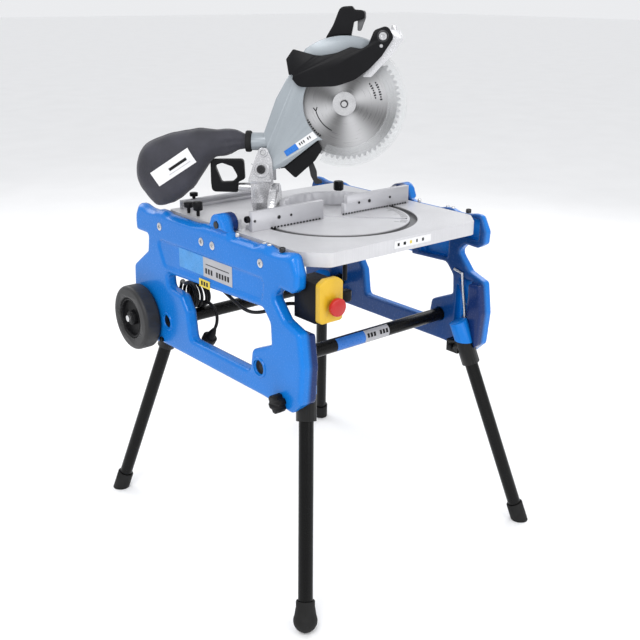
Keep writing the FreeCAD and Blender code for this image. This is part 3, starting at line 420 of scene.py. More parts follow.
NODE_BODY = {}
for body_name, its_nodes in frame["record"]["behaviour"]["bodies"].items():
    for name in its_nodes:
        NODE_BODY[name] = body_name

for name, thing in NODES.items():
    thing.data.materials.clear()
    thing.data.materials.append(FINISHES[finish_of(name)])


# ---------------------------------------------------------------- pieces

def add_piece(name, mesh, look, body, smooth=True, angle=35):
    """A new piece with its finish, riding on its body."""
    mesh.materials.clear()
    mesh.materials.append(FINISHES[look])
    piece = bpy.data.objects.new(name, mesh)
    bpy.context.collection.objects.link(piece)
    if smooth:
        mesh.shade_smooth()
        mesh.set_sharp_from_angle(angle=radians(angle))
    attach(piece, body)
    return piece


def bare_mesh(node):
    """A CAD node's surface as a new mesh, welded, with its flat faces whole."""
    source = NODES[node].data
    grid = bmesh.new()
    mesh = bpy.data.meshes.new(node + "_surface")
    mesh.from_pydata([v.co[:] for v in source.vertices], [], [p.vertices[:] for p in source.polygons])
    grid.from_mesh(mesh)
    bmesh.ops.remove_doubles(grid, verts=grid.verts, dist=2e-5)
    bmesh.ops.dissolve_limit(grid, angle_limit=radians(1), verts=grid.verts, edges=grid.edges)
    grid.to_mesh(mesh)
    grid.free()
    return mesh


def applied(mesh, *modifiers):
    """The mesh after modifiers, each given as (kind, settings)."""
    holder = bpy.data.objects.new("holder", mesh)
    bpy.context.collection.objects.link(holder)
    for kind, settings in modifiers:
        made = holder.modifiers.new(kind, kind)
        for key, value in settings.items():
            setattr(made, key, value)
    graph = bpy.context.evaluated_depsgraph_get()
    result = bpy.data.meshes.new_from_object(holder.evaluated_get(graph))
    bpy.data.objects.remove(holder)
    return result


def soften(node, width, segments=2):
    """A node with its sharp edges rounded over."""
    settings = {"width": width, "segments": segments, "limit_method": "ANGLE", "angle_limit": radians(35),
                "use_clamp_overlap": True, "harden_normals": False, "miter_outer": "MITER_ARC"}
    mesh = applied(bare_mesh(node), ("BEVEL", settings), ("WEIGHTED_NORMAL", {"keep_sharp": False}))
    piece = add_piece(node + "_soft", mesh, finish_of(node), NODE_BODY[node], angle=50)
    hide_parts(node)
    return piece


def mould(node, voxel, rounds, shape=None):
    """A node as a casting or moulding: remeshed evenly and smoothed, with its shape adjusted first."""
    mesh = applied(bare_mesh(node), ("REMESH", {"mode": "VOXEL", "voxel_size": voxel, "adaptivity": 0.0}))
    if shape:
        place = np.empty(len(mesh.vertices) * 3)
        mesh.vertices.foreach_get("co", place)
        mesh.vertices.foreach_set("co", shape(place.reshape(-1, 3)).ravel())
    mesh = applied(mesh, ("SMOOTH", {"factor": 0.5, "iterations": rounds}))
    piece = add_piece(node + "_moulded", mesh, finish_of(node), NODE_BODY[node], angle=180)
    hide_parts(node)
    return piece


def lathe(name, profile, base, axis, look, body, sides=40, hexagon=None, angle=35):
    """A turned piece: (radius, height) pairs about an axis. Rings listed in hexagon have six sides."""
    axis = Vector(axis).normalized()
    first = axis.orthogonal().normalized()
    second = axis.cross(first)
    grid = bmesh.new()
    rings = []
    for index, (radius, height) in enumerate(profile):
        centre = Vector(base) + axis * height
        if radius < 1e-6:
            rings.append([grid.verts.new(centre)])
            continue
        ring = []
        for k in range(sides):
            turn = 2 * pi * k / sides
            reach = radius
            if hexagon and index in hexagon:
                sixth = pi / 3
                reach = radius * cos(sixth / 2) / cos((turn % sixth) - sixth / 2)
            ring.append(grid.verts.new(centre + (first * cos(turn) + second * sin(turn)) * reach))
        rings.append(ring)
    for low, high in zip(rings, rings[1:]):
        for k in range(sides):
            n = (k + 1) % sides
            corners = [low[k % len(low)], low[n % len(low)], high[n % len(high)], high[k % len(high)]]
            corners = list(dict.fromkeys(corners))
            if len(corners) > 2:
                grid.faces.new(corners)
    for ring in (rings[0], rings[-1]):
        if len(ring) > 1:
            grid.faces.new(ring)
    bmesh.ops.recalc_face_normals(grid, faces=grid.faces)
    mesh = bpy.data.meshes.new(name)
    grid.to_mesh(mesh)
    grid.free()
    return add_piece(name, mesh, look, body, angle=angle)


def cap_screw(name, place, axis, radius, look, body, height=None):
    """A socket-head screw seen from its head."""
    tall = height or radius * 0.9
    profile = [(radius, -tall * 0.5), (radius, tall * 0.75), (radius * 0.86, tall), (radius * 0.56, tall),
               (radius * 0.52, tall * 0.3), (0, tall * 0.25)]
    return lathe(name, profile, place, axis, look, body, sides=24, hexagon=(3, 4))


def plate(name, corners, look, body, out, thick=0.0006, cells=(10, 4), bend=None, lift=0.0002):
    """A thin printed label laid on a surface, given by its four corners and the way out of the surface."""
    a, b, c, d = (Vector(p) for p in corners)
    out = Vector(out).normalized()
    grid = bmesh.new()
    rows = []
    for j in range(cells[1] + 1):
        row = []
        for i in range(cells[0] + 1):
            u, v = i / cells[0], j / cells[1]
            point = (a * (1 - u) + b * u) * (1 - v) + (d * (1 - u) + c * u) * v
            row.append(grid.verts.new(bend(point) if bend else point + out * lift))
        rows.append(row)
    for low, high in zip(rows, rows[1:]):
        for k in range(cells[0]):
            grid.faces.new((low[k], low[k + 1], high[k + 1], high[k]))
    grid.normal_update()
    if sum((f.normal for f in grid.faces), Vector()).dot(out) < 0:
        bmesh.ops.reverse_faces(grid, faces=grid.faces)
    mesh = bpy.data.meshes.new(name)
    grid.to_mesh(mesh)
    grid.free()
    mesh = applied(mesh, ("SOLIDIFY", {"thickness": thick, "offset": 1.0}))
    return add_piece(name, mesh, look, body, angle=30)


def bars(name, boxes, look, body):
    """Small printed or fixed bars in one piece: each box has a centre and three half-extent vectors."""
    grid = bmesh.new()
    signs = [(-1, -1), (1, -1), (1, 1), (-1, 1)]
    for centre, along, across, out in boxes:
        low = [grid.verts.new(Vector(centre) + along * i + across * j - out) for i, j in signs]
        high = [grid.verts.new(Vector(centre) + along * i * 0.96 + across * j * 0.92 + out) for i,
                j in signs]
        grid.faces.new(low[::-1])
        grid.faces.new(high)
        for k in range(4):
            n = (k + 1) % 4
            grid.faces.new((low[k], low[n], high[n], high[k]))
    bmesh.ops.recalc_face_normals(grid, faces=grid.faces)
    mesh = bpy.data.meshes.new(name)
    grid.to_mesh(mesh)
    grid.free()
    return add_piece(name, mesh, look, body, smooth=False)


def wire(name, points, radius, look, body, closed=False):
    """A round wire, bead or seam through points, as a mesh."""
    data = bpy.data.curves.new(name, "CURVE")
    data.dimensions = "3D"
    spline = data.splines.new("NURBS")
    spline.points.add(len(points) - 1)
    for point, place in zip(spline.points, points):
        point.co = (*place, 1)
    spline.order_u = 3
    spline.use_endpoint_u = not closed
    spline.use_cyclic_u = closed
    spline.resolution_u = 4
    data.bevel_depth = radius
    data.bevel_resolution = 3
    data.use_fill_caps = True
    holder = bpy.data.objects.new("holder", data)
    bpy.context.collection.objects.link(holder)
    graph = bpy.context.evaluated_depsgraph_get()
    mesh = bpy.data.meshes.new_from_object(holder.evaluated_get(graph))
    bpy.data.objects.remove(holder)
    return add_piece(name, mesh, look, body, angle=50)


# ---------------------------------------------------------------- cord

CORD_DIAMETER = 0.008
HANK_TURNS = 5
CORD_RUN = [
    (-0.240, -0.258, 0.668), (-0.242, -0.228, 0.664), (-0.253, -0.198, 0.650), (-0.267, -0.162, 0.629),
    (-0.274, -0.115, 0.620), (-0.277, -0.062, 0.638), (-0.278, 0.000, 0.660), (-0.278, 0.060, 0.658),
    (-0.276, 0.112, 0.634), (-0.266, 0.152, 0.618), (-0.246, 0.186, 0.614),
]
CORD_TAIL = [(-0.206, 0.150, 0.562), (-0.203, 0.128, 0.556), (-0.201, 0.112, 0.538),
             (-0.203, 0.111, 0.511), (-0.206, 0.118, 0.498)]


def hank_points():
    """The loose turns that hang over the rear cross tube; they differ in size and lean."""
    centre_back, centre_up = 0.1945, 0.5690
    start_x, end_x = -0.2355, -0.1815
    steps, last_turn = 14, HANK_TURNS + 0.5
    points = [(-0.2395, 0.2085, 0.6060)]
    for k in range(2, int(last_turn * steps) + 1):
        turn = k / steps
        angle = radians(90) - 2 * pi * turn
        reach = 0.0310 + 0.0022 * sin(2.1 * turn + 0.5)
        lean = 0.0030 * sin(angle + 0.8 * turn)
        homeward = max(0.0, turn - last_turn + 1)
        x = start_x + (end_x - start_x) * turn / last_turn + lean - 0.020 * homeward ** 2
        up = centre_up + reach * sin(angle) + 0.004 * homeward ** 2
        points.append((x, centre_back + reach * 1.08 * cos(angle), up))
    points.append((-0.2040, 0.1710, 0.5520))
    return points


def add_cord():
    data = bpy.data.curves.new("mains_cord", "CURVE")
    data.dimensions = "3D"
    points = [drawn(*p) for p in CORD_RUN + hank_points() + CORD_TAIL]
    spline = data.splines.new("NURBS")
    spline.points.add(len(points) - 1)
    for point, place in zip(spline.points, points):
        point.co = (*place, 1)
    spline.order_u = 3
    spline.use_endpoint_u = True
    spline.resolution_u = 8
    data.bevel_depth = CORD_DIAMETER / 2
    data.bevel_resolution = 4
    data.use_fill_caps = True
    data.materials.append(FINISHES["cord_rubber"])
    cord = bpy.data.objects.new("mains_cord", data)
    bpy.context.collection.objects.link(cord)
    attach(cord, "stand")
    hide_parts("cord_run", "cord_hank", "cord_tail")
    plug = soften("mains_plug", 0.0015)


# ---------------------------------------------------------------- side frames

FRAME_OUTLINE = [
    (310, 790, 10), (321, 764, 12), (320, 723, 8), (263, 722, 8), (270, 680, 14), (341, 630, 16),
    (348, 520, 14), (341, 444, 14), (274, 440, 10), (233, 452, 10), (-193, 452, 10), (-297, 447, 12),
    (-326, 475, 12), (-333, 555, 20), (-322, 630, 12), (-273, 647, 12), (-235, 690, 12), (-259, 712, 5),
    (-296, 710, 8), (-314, 722, 8), (-316, 752, 10), (-300, 790, 12),
]
HAND_OPENING = [
    (184, 641, 14), (-200, 656, 18), (-224, 628, 14), (-227, 580, 10), (-158, 550, 16), (-150, 498, 14),
    (88, 498, 12), (98, 566, 16), (122, 600, 16), (180, 606, 12),
]
TOP_HUMPS = [(304, 34), (206, 26), (4, 58), (-196, 26), (-296, 40)]


def rounded_outline(corners, steps=6):
    """Corner points with radii, in millimetres, as a closed line of points in metres."""
    line = []
    for index, (y, z, radius) in enumerate(corners):
        corner = np.array((y, z), float)
        before = np.array(corners[index - 1][:2], float) - corner
        after = np.array(corners[(index + 1) % len(corners)][:2], float) - corner
        before, after = before / np.linalg.norm(before), after / np.linalg.norm(after)
        half = acos(max(-1, min(1, float(before @ after)))) / 2
        setback = radius / tan(half)
        start, end = corner + before * setback, corner + after * setback
        for k in range(steps + 1):
            t = k / steps
            line.append((1 - t) ** 2 * start + 2 * t * (1 - t) * corner + t ** 2 * end)
    return np.array(line) * MM + (SHIFT, 0)


def edge_distance(points, lines):
    """How far each point is from the nearest of the closed lines."""
    best = np.full(len(points), 1.0)
    for line in lines:
        for start, end in zip(line, np.roll(line, -1, axis=0)):
            run = end - start
            length = float(run @ run)
            if length < 1e-12:
                continue
            t = np.clip(((points - start) @ run) / length, 0, 1)
            gap = points - (start + t[:, None] * run)
            best = np.minimum(best, np.sqrt((gap ** 2).sum(1)))
    return best


def frame_shape(place):
    """Round the outer edges of a side frame over, and let its top rail rise and fall in low humps."""
    soft, top_soft = 0.008, 0.016
    lines = [rounded_outline(FRAME_OUTLINE), rounded_outline(HAND_OPENING)]
    side = np.sign(place[:, 0])
    aside = np.abs(place[:, 0])
    back, up = place[:, 1], place[:, 2]
    gap = edge_distance(place[:, 1:], lines)
    low_part = up < FRAME_TOP + 0.001
    top = np.clip((up - 0.750) / 0.035, 0, 1)
    radius = soft + (top_soft - soft) * top
    near_edge = np.clip(radius - gap, 0, radius)
    limit = FRAME_FACE - radius + np.sqrt(np.maximum(radius ** 2 - near_edge ** 2, 0))
    outer = low_part & (aside > FRAME_FACE - 0.020)
    aside = np.where(outer, np.minimum(aside, limit), aside)
    inner_edge = FRAME_FACE - 0.028
    inner_soft = 0.004
    near_inner = np.clip(inner_soft - gap, 0, inner_soft)
    inner_limit = inner_edge + inner_soft - np.sqrt(np.maximum(inner_soft ** 2 - near_inner ** 2, 0))
    inner = low_part & (aside < inner_edge + 0.004) & (aside > inner_edge - 0.001)
    aside = np.where(inner, np.maximum(aside, inner_limit), aside)
    hump = np.zeros(len(place))
    for hump_middle, half in TOP_HUMPS:
        t = np.clip(1 - np.abs(back - SHIFT - hump_middle * MM) / (half * MM * 1.35), 0, 1)
        hump = np.maximum(hump, t * t * (3 - 2 * t) * 1.25)
    hump = np.clip(hump, 0, 1)
    away_from_lug = np.clip((np.abs(back - middle("trunnion_pins").y) - 0.036) / 0.012, 0, 1)
    drop = 0.0055 * (1 - hump) * away_from_lug * np.clip((up - 0.772) / 0.012, 0, 1)
    up = np.where(low_part, up - drop, up)
    return np.column_stack((side * aside, back, up))


def add_frames():
    inserts = (0.2055, 0.0255, -0.0185, -0.1955)
    for word, side in (("left", -1), ("right", 1)):
        mould("side_frame_" + word, 0.0028, 4, shape=frame_shape)
        out = (side, 0, 0)
        for count, back in enumerate(inserts):
            lathe("insert_ring_%s_%d" % (word, count),
                  [(0.0094, -0.004), (0.0094, 0.0006), (0.0082, 0.0012),
                                                      (0.0045, 0.0012), (0.0042, -0.006)],
                  drawn(side * FRAME_FACE, back, 0.752), out, "steel", "stand", sides=28)
        for end in ("front", "rear"):
            tube = middle("cross_tube_" + end)
            lathe("tube_boss_%s_%s" % (end, word), [(0.0235, -0.010), (0.0235, 0.0005), (0.0222, 0.0022),
                                                  (0.0182, 0.0024), (0.0172, -0.004), (0.0165, -0.010)],
                  (side * FRAME_FACE, tube.y, tube.z), out, "frame_paint", "stand")
            lathe("tube_cap_%s_%s" % (end, word), [(0.0158, -0.006), (0.0158, 0.0), (0.0146, 0.0012),
                                                 (0.010, 0.0004), (0.0, -0.0006)],
                  (side * (FRAME_FACE - 0.004), tube.y, tube.z), out, "black_plastic", "stand")
        top_of_rail = 0.7895
        cap_screw("rail_bolt_" + word, drawn(side * 0.280, -0.252, top_of_rail), (0, 0, 1), 0.0065,
                  "dark_steel", "stand")
        for count, back in enumerate((-0.188, -0.205, -0.092)):
            cap_screw("stop_screw_%s_%d" % (word, count),
                      drawn(side * 0.2775, back, top_of_rail - 0.002), (0, 0, 1),
                      0.0045, "steel", "stand", 0.0055)


# ---------------------------------------------------------------- dust bag

BAG_SECTIONS = [   # forward, top, bottom, half width, in millimetres
    (-192.5, 977, 939, 19), (-201, 976.5, 939.5, 18.5), (-207, 973, 941, 15.5), (-214, 977, 940, 17),
    (-224, 982, 939, 19), (-240, 984, 930, 21), (-258, 985, 924, 23), (-276, 985, 921, 27),
    (-294, 985, 903, 34), (-312, 985, 874, 40), (-332, 983, 849, 44), (-354, 979, 832, 45),
    (-378, 973, 815, 45),
    (-400, 966, 806, 44), (-420, 958, 808, 43), (-438, 948, 826, 40), (-450, 936, 842, 34),
    (-458, 918, 858, 25),
    (-462, 897, 874, 11),
]


def bag_loft():
    """The bag's own cut: rings about its middle line, closed at both ends."""
    around = 44
    grid = bmesh.new()
    rings = []
    for forward, top, bottom, half in BAG_SECTIONS:
        level, tall = (top + bottom) / 2, (top - bottom) / 2
        ring = []
        for k in range(around):
            turn = 2 * pi * k / around
            c, s = cos(turn), sin(turn)
            power = 0.82
            aside = copysign(abs(c) ** power, c) * half
            up = copysign(abs(s) ** power, s) * tall
            ring.append(grid.verts.new(saw_point(forward * MM, aside * MM, (level + up) * MM)))
        rings.append(ring)
    for low, high in zip(rings, rings[1:]):
        for k in range(around):
            n = (k + 1) % around
            grid.faces.new((low[k], low[n], high[n], high[k]))
    grid.faces.new(rings[0])
    grid.faces.new(rings[-1][::-1])
    bmesh.ops.recalc_face_normals(grid, faces=grid.faces)
    mesh = bpy.data.meshes.new("bag_cut")
    grid.to_mesh(mesh)
    grid.free()
    return mesh


def bag_creases(place):
    """Folds that run back from the gathered neck and hang down the sides."""
    moved = np.array(place)
    for index, point in enumerate(place):
        v = Vector(point)
        local = v - saw_point(0, 0, 0)
        forward, aside = local.dot(SAW_FORWARD), local.dot(SAW_ASIDE)
        if forward > -0.205:
            continue
        centre = Vector((forward, 0, 0.905 if forward < -0.29 else 0.955))
        from_neck = max(0.0, min(1.0, (-forward - 0.205) / 0.06))
        around = atan2(v.z - centre.z, aside)
        neck = sin(around * 9 + forward * 40) * 0.0016 * exp(-((forward + 0.235) / 0.03) ** 2)
        fold = noise.noise(Vector((forward * 16, aside * 9, v.z * 26 + forward * 14))) * 0.0042
        fine = noise.noise(Vector((forward * 46, aside * 30, v.z * 52))) * 0.0015
        out = Vector((0, aside, v.z - centre.z))
        push = (fold + fine) * from_neck + neck
        direction = (SAW_ASIDE * out.y + UP * out.z).normalized()
        moved[index] = v + direction * push
    return moved


def simulated(mesh, cap):
    """The bag filled with a little air by cloth simulation, held at its neck, moved no further than cap."""
    holder = bpy.data.objects.new("bag_sim", mesh)
    bpy.context.collection.objects.link(holder)
    held = holder.vertex_groups.new(name="neck")
    rest = [v.co.copy() for v in mesh.vertices]
    origin = saw_point(0, 0, 0)
    held.add([i for i, co in enumerate(rest) if (co - origin).dot(SAW_FORWARD) > -0.218], 1.0, "REPLACE")
    cloth_sim = holder.modifiers.new("cloth", "CLOTH")
    cloth_sim.settings.quality = 5
    cloth_sim.settings.mass = 0.3
    cloth_sim.settings.use_pressure = True
    cloth_sim.settings.uniform_pressure_force = 3.5
    cloth_sim.settings.bending_stiffness = 0.6
    cloth_sim.settings.tension_stiffness = 12
    cloth_sim.settings.vertex_group_mass = "neck"
    cloth_sim.settings.effector_weights.gravity = 0
    scene = bpy.context.scene
    for step in range(1, 21):
        scene.frame_set(step)
    graph = bpy.context.evaluated_depsgraph_get()
    result = bpy.data.meshes.new_from_object(holder.evaluated_get(graph))
    scene.frame_set(1)
    bpy.data.objects.remove(holder)
    for vertex, start in zip(result.vertices, rest):
        move = vertex.co - start
        if move.length > cap:
            vertex.co = start + move.normalized() * cap
    return result


def add_bag():
    mesh = applied(bag_loft(), ("REMESH", {"mode": "VOXEL", "voxel_size": 0.0045}))
    mesh = applied(mesh, ("SMOOTH", {"factor": 0.5, "iterations": 4}))
    mesh = simulated(mesh, 0.006)
    place = np.empty(len(mesh.vertices) * 3)
    mesh.vertices.foreach_get("co", place)
    mesh.vertices.foreach_set("co", bag_creases(place.reshape(-1, 3)).ravel())
    mesh = applied(mesh, ("SUBSURF", {"levels": 1, "render_levels": 1}))
    bag = add_piece("dust_bag_cloth", mesh, "bag_fabric", "head", angle=180)
    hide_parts("dust_bag")
    tree = BVHTree.FromObject(bag, bpy.context.evaluated_depsgraph_get())

    def seam(name, centre_forward, centre_up, start, end, aside=0.0, count=40):
        """A sewn edge that follows the bag's skin, found from outside towards its middle."""
        found = []
        for k in range(count + 1):
            turn = radians(start + (end - start) * k / count)
            inward = SAW_FORWARD * cos(turn) + UP * sin(turn)
            centre = saw_point(centre_forward, aside, centre_up)
            hit = tree.ray_cast(centre + inward * 0.3, -inward)[0]
            if hit:
                found.append(hit)
        return wire(name, found, 0.0011, "bag_fabric", "head")

    seam("bag_seam_top", -0.345, 0.905, 62, 232)
    seam("bag_seam_low", -0.375, 0.890, 235, 318)
    near = -0.075
    corners = [(-0.421, 0.888), (-0.333, 0.947), (-0.314, 0.915), (-0.401, 0.858)]

    def on_skin(point):
        local = point - saw_point(0, 0, 0)
        forward, up = local.dot(SAW_FORWARD), point.z
        hit = tree.ray_cast(saw_point(forward, near, up), SAW_ASIDE)[0]
        return (hit or saw_point(forward, -0.045, up)) - SAW_ASIDE * 0.0008

    quad = [saw_point(s, near, z) for s, z in corners]
    plate("bag_label", quad, "label_white", "head", -SAW_ASIDE, 0.0008, (16, 6), bend=on_skin)

    def inset(u0, u1, v0, v1):
        a, b, c, d = quad
        return [(a * (1 - u) + b * u) * (1 - v) + (d * (1 - u) + c * u) * v
                for u, v in ((u0, v0), (u1, v0), (u1, v1), (u0, v1))]

    def over_label(point):
        return on_skin(point) - SAW_ASIDE * 0.0009

    plate("bag_label_stripe", inset(0.40, 0.86, 0.40, 0.58), "print", "head", -SAW_ASIDE, 0.0003, (8, 2),
          bend=over_label)
    plate("bag_label_line", inset(0.34, 0.90, 0.74, 0.77), "label_grey", "head", -SAW_ASIDE, 0.0003,
          (8, 1),
          bend=over_label)
    lathe("bag_collar", [(0.0235, 0), (0.0242, 0.003), (0.0242, 0.009), (0.0230, 0.012), (0.0206, 0.012),
                         (0.0204, 0)],
          saw_point(-0.2055, 0, 0.958), SAW_FORWARD, "rubber", "head")


# ---------------------------------------------------------------- saw head

BLADE_FACE = -0.0016            # where the printing lies on the blade's guard side


def on_blade(reach, turn):
    """A printed mark's place on the blade, and its directions along and across the circle."""
    place = saw_point(BLADE_AXIS[0] + reach * cos(turn), BLADE_FACE, BLADE_AXIS[1] + reach * sin(turn))
    along = UP * cos(turn) - SAW_FORWARD * sin(turn)
    across = SAW_FORWARD * cos(turn) + UP * sin(turn)
    return place, along, across


def add_saw_head():
    soften("head_cover", 0.0035, 3)
    mould("main_handle", 0.0016, 9)
    soften("front_bracket", 0.0016)
    soften("guard_arm", 0.0022, 3)
    mould("deflector", 0.0014, 5)
    soften("motor_housing", 0.002)
    soften("trigger", 0.002)
    soften("lower_guard", 0.0012, 2)
    out = -SAW_ASIDE
    centre = saw_point(BLADE_AXIS[0], -0.0014, BLADE_AXIS[1])
    flange = lathe("blade_flange", [
        (0.0260, 0.0), (0.0262, 0.0035), (0.0250, 0.0050), (0.0205, 0.0056), (0.0196, 0.0046),
        (0.0180, 0.0044),
        (0.0170, 0.0058), (0.0118, 0.0062), (0.0112, 0.0040), (0.0, 0.0040)], centre, out,
        "bright_aluminium", "blade")
    cap_screw("arbor_bolt", centre + out * 0.0045, out, 0.0088, "dark_steel", "blade", 0.0088)
    lathe("blade_bushing", [(0.0149, -0.008), (0.0149, 0.0005), (0.0100, 0.0008)], centre - out * 0.001,
          out,
          "steel", "blade")
    arrow_reach = 0.066
    arc = []
    for k in range(15):
        place, along, across = on_blade(arrow_reach, radians(196 + 3.4 * k))
        arc.append((place, along * 0.0021, across * 0.0011, out * 0.00015))
    tip = radians(192)
    for lean in (-1, 1):
        place = on_blade(arrow_reach + lean * 0.0022, tip)[0]
        along = on_blade(arrow_reach, tip + lean * 0.5)[1]
        arc.append((place, along * 0.0045, along.cross(out) * 0.0012, out * 0.00015))
    bars("blade_arrow", arc, "print", "blade")
    marks = []
    for start, reach, count in ((205, 0.090, 9), (38, 0.070, 7), (34, 0.082, 8)):
        way = 1 if start > 90 else -1
        for k in range(count):
            place, along, across = on_blade(reach, radians(start + 4.2 * k * 0.075 / reach * way))
            marks.append((place, along * 0.0017, across * (0.0026 if k % 3 else 0.0016), out * 0.00012))
    bars("blade_marks", marks, "print", "blade")

    half_cover = 0.0215
    face = -half_cover - 0.0001
    quad = [(-0.117, 0.940), (-0.052, 0.986), (-0.041, 0.973), (-0.110, 0.929)]
    a, b, c, d = (saw_point(s, face, z) for s, z in quad)
    plate("cover_label", (a, b, c, d), "label_white", "head", out, 0.0004)
    m, n = a * 0.60 + b * 0.40, d * 0.60 + c * 0.40
    plate("cover_label_blue", (a, m, n, d), "label_blue", "head", out, 0.0006)
    ticks = []
    along = (b - a).normalized()
    up = (a - d).normalized()
    for k in range(6):
        if k != 3:
            ticks.append((a * (0.5 - 0.07 * k) + b * (0.5 + 0.07 * k) - up * 0.007 + out * 0.0006,
                          along * 0.0015,
                          up * 0.0032, out * 0.0001))
    bars("cover_label_marks", ticks, "print", "head")

    cap_screw("guard_arm_bolt", saw_point(0.099, -0.0385, 1.192), out, 0.0085, "steel", "guard_arm",
              0.005)
    lathe("guard_arm_washer", [(0.0125, -0.001), (0.0125, 0.0008), (0.0118, 0.0012), (0.008, 0.0012)],
          saw_point(0.099, -0.038, 1.192), out, "dark_steel", "guard_arm")
    cap_screw("guard_arm_stop", saw_point(0.096, -0.038, 1.172), out, 0.0036, "steel", "guard_arm", 0.002)
    cap_screw("bracket_screw", saw_point(0.128, -0.021, 1.176), out, 0.0045, "dark_steel", "head")


def add_swing_arm():
    soften("swing_arm", 0.0022, 3)
    soften("bevel_support", 0.0016)
    mould("bevel_handle", 0.0013, 7)
    soften("bevel_shaft", 0.0008)
    out = -SAW_ASIDE
    ring = [(0.0185, -0.002), (0.0185, 0.0028), (0.0175, 0.0036), (0.0152, 0.0036), (0.0146, 0.0005),
            (0.0130, 0.0003)]
    lathe("pivot_ring", ring, saw_point(PIVOT[0], -0.030, PIVOT[1]), out, "bright_aluminium", "swing_arm")
    cap_screw("pivot_bolt", saw_point(PIVOT[0], -0.0308, PIVOT[1]), out, 0.0100, "dark_steel",
              "swing_arm", 0.004)
    lathe("cheek_boss", [(0.0100, -0.001), (0.0100, 0.0024), (0.0092, 0.0030), (0.0066, 0.0030),
                         (0.0060, 0.0002)],
          saw_point(-0.163, -0.030, 0.938), out, "bright_aluminium", "swing_arm")
    cap_screw("cheek_bolt", saw_point(-0.163, -0.0302, 0.938), out, 0.0055, "steel", "swing_arm", 0.0022)
    ribs = []
    for turn in (25, 78, 152, 205, 262, 318):
        t = radians(turn)
        way = SAW_FORWARD * cos(t) + UP * sin(t)
        place = saw_point(PIVOT[0], -0.0304, PIVOT[1]) + way * 0.0215
        ribs.append((place, way * 0.0042, way.cross(out) * 0.0014, out * 0.0014))
    base = saw_point(-0.168, -0.0304, 0.8735)
    ribs.append((base, SAW_FORWARD * 0.0235, Vector((0, 0, 0.0016)), out * 0.0014))
    bars("cheek_ribs", ribs, "bright_aluminium", "swing_arm")


# ---------------------------------------------------------------- table

def add_table():
    soften("fence", 0.0010)
    soften("rear_bar", 0.0010)
    soften("thumb_screws", 0.0016)
    soften("table_lock_knob", 0.002)
    out = (0, -1, 0)
    front = SAW_BACK                # the fence's face goes through the turntable's axis
    for count, x in enumerate((-0.231, -0.165, -0.131, 0.073, 0.106, 0.174)):
        wide = 0.0042 if count in (1, 4) else 0.0030
        cap_screw("fence_face_screw_%d" % count, (x, front - 0.0001, 0.8115), out, wide, "dark_steel",
                  "table", 0.0014)
    dashes = []
    for low, high in ((-0.190, -0.044), (0.020, 0.232)):
        count = int((high - low) / 0.0088)
        for k in range(count):
            x = low + (high - low) * (k + 0.5) / count
            dashes.append(((x, front - 0.0004, TABLE_TOP + 0.0022), Vector((0.0026, 0, 0)),
                           Vector((0, 0, 0.0018)),
                           Vector((0, -0.0004, 0))))
    bars("fence_dashes", dashes, "print", "table")
    ticks = []
    cut_turn = atan2(SAW_FORWARD.y, SAW_FORWARD.x)
    for k in range(0, 46):
        turn = radians(-58 + 2.5 * k)
        if abs(turn - cut_turn) < radians(4):
            continue
        long = k % 6 == 0
        inner, outer = (0.140 if long else 0.152), 0.168
        way = Vector((cos(turn), sin(turn), 0))
        place = Vector((0, SAW_BACK, TABLE_TOP + 0.0001)) + way * ((inner + outer) / 2)
        ticks.append((place, way * ((outer - inner) / 2), way.cross(UP) * 0.0004,
                      Vector((0, 0, 0.00012))))
    bars("mitre_scale", ticks, "print", "turntable")
    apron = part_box("table_plate")[0].y
    quad = [(-0.0383, apron, 0.7830), (0.073, apron, 0.7830), (0.073, apron, 0.7665),
            (-0.0383, apron, 0.7665)]
    plate("apron_label", quad, "label_white", "table", out, 0.0005)
    signs = []
    for k, half in enumerate((0.0030, 0.0038, 0.0030, 0.0022, 0.0030)):
        signs.append(((-0.026 + 0.0185 * k, apron - 0.0008, 0.7748), Vector((half, 0, 0)),
                      Vector((0, 0, 0.0034)),
                      Vector((0, -0.0001, 0))))
    bars("apron_signs", signs[:2] + signs[3:], "print", "table")
    bars("apron_sign_yellow", signs[2:3], "label_yellow", "table")
    lathe("table_stop_post", [(0.0055, -0.001), (0.0055, 0.010), (0.0, 0.010)],
          drawn(0.171, 0.0945, TABLE_TOP), (0, 0, 1), "steel", "table", sides=24)
    lathe("table_stop_knob", [(0.0085, 0.0), (0.0125, 0.002), (0.0130, 0.006), (0.0130, 0.021),
                              (0.0115, 0.0245),
                              (0.0, 0.025)],
          drawn(0.171, 0.0945, TABLE_TOP + 0.0095), (0, 0, 1), "black_plastic", "table", sides=8)
    for count, (x, look) in enumerate(((0.1415, "black_plastic"), (0.192, "bright_aluminium"))):
        lathe("fence_knob_%d" % count, [(0.0045, 0.0), (0.0045, 0.016), (0.0105, 0.017), (0.0115, 0.020),
                                       (0.0115, 0.026), (0.0100, 0.029), (0.0, 0.0295)],
              drawn(x, -0.066, TABLE_TOP + 0.008), (0, 0, 1), look, "table", sides=18)
    cap_screw("fence_end_screw", drawn(-0.239, -0.078, TABLE_TOP + 0.026), (-1, 0, 0), 0.0075,
              "black_plastic",
              "table")


# ---------------------------------------------------------------- stand

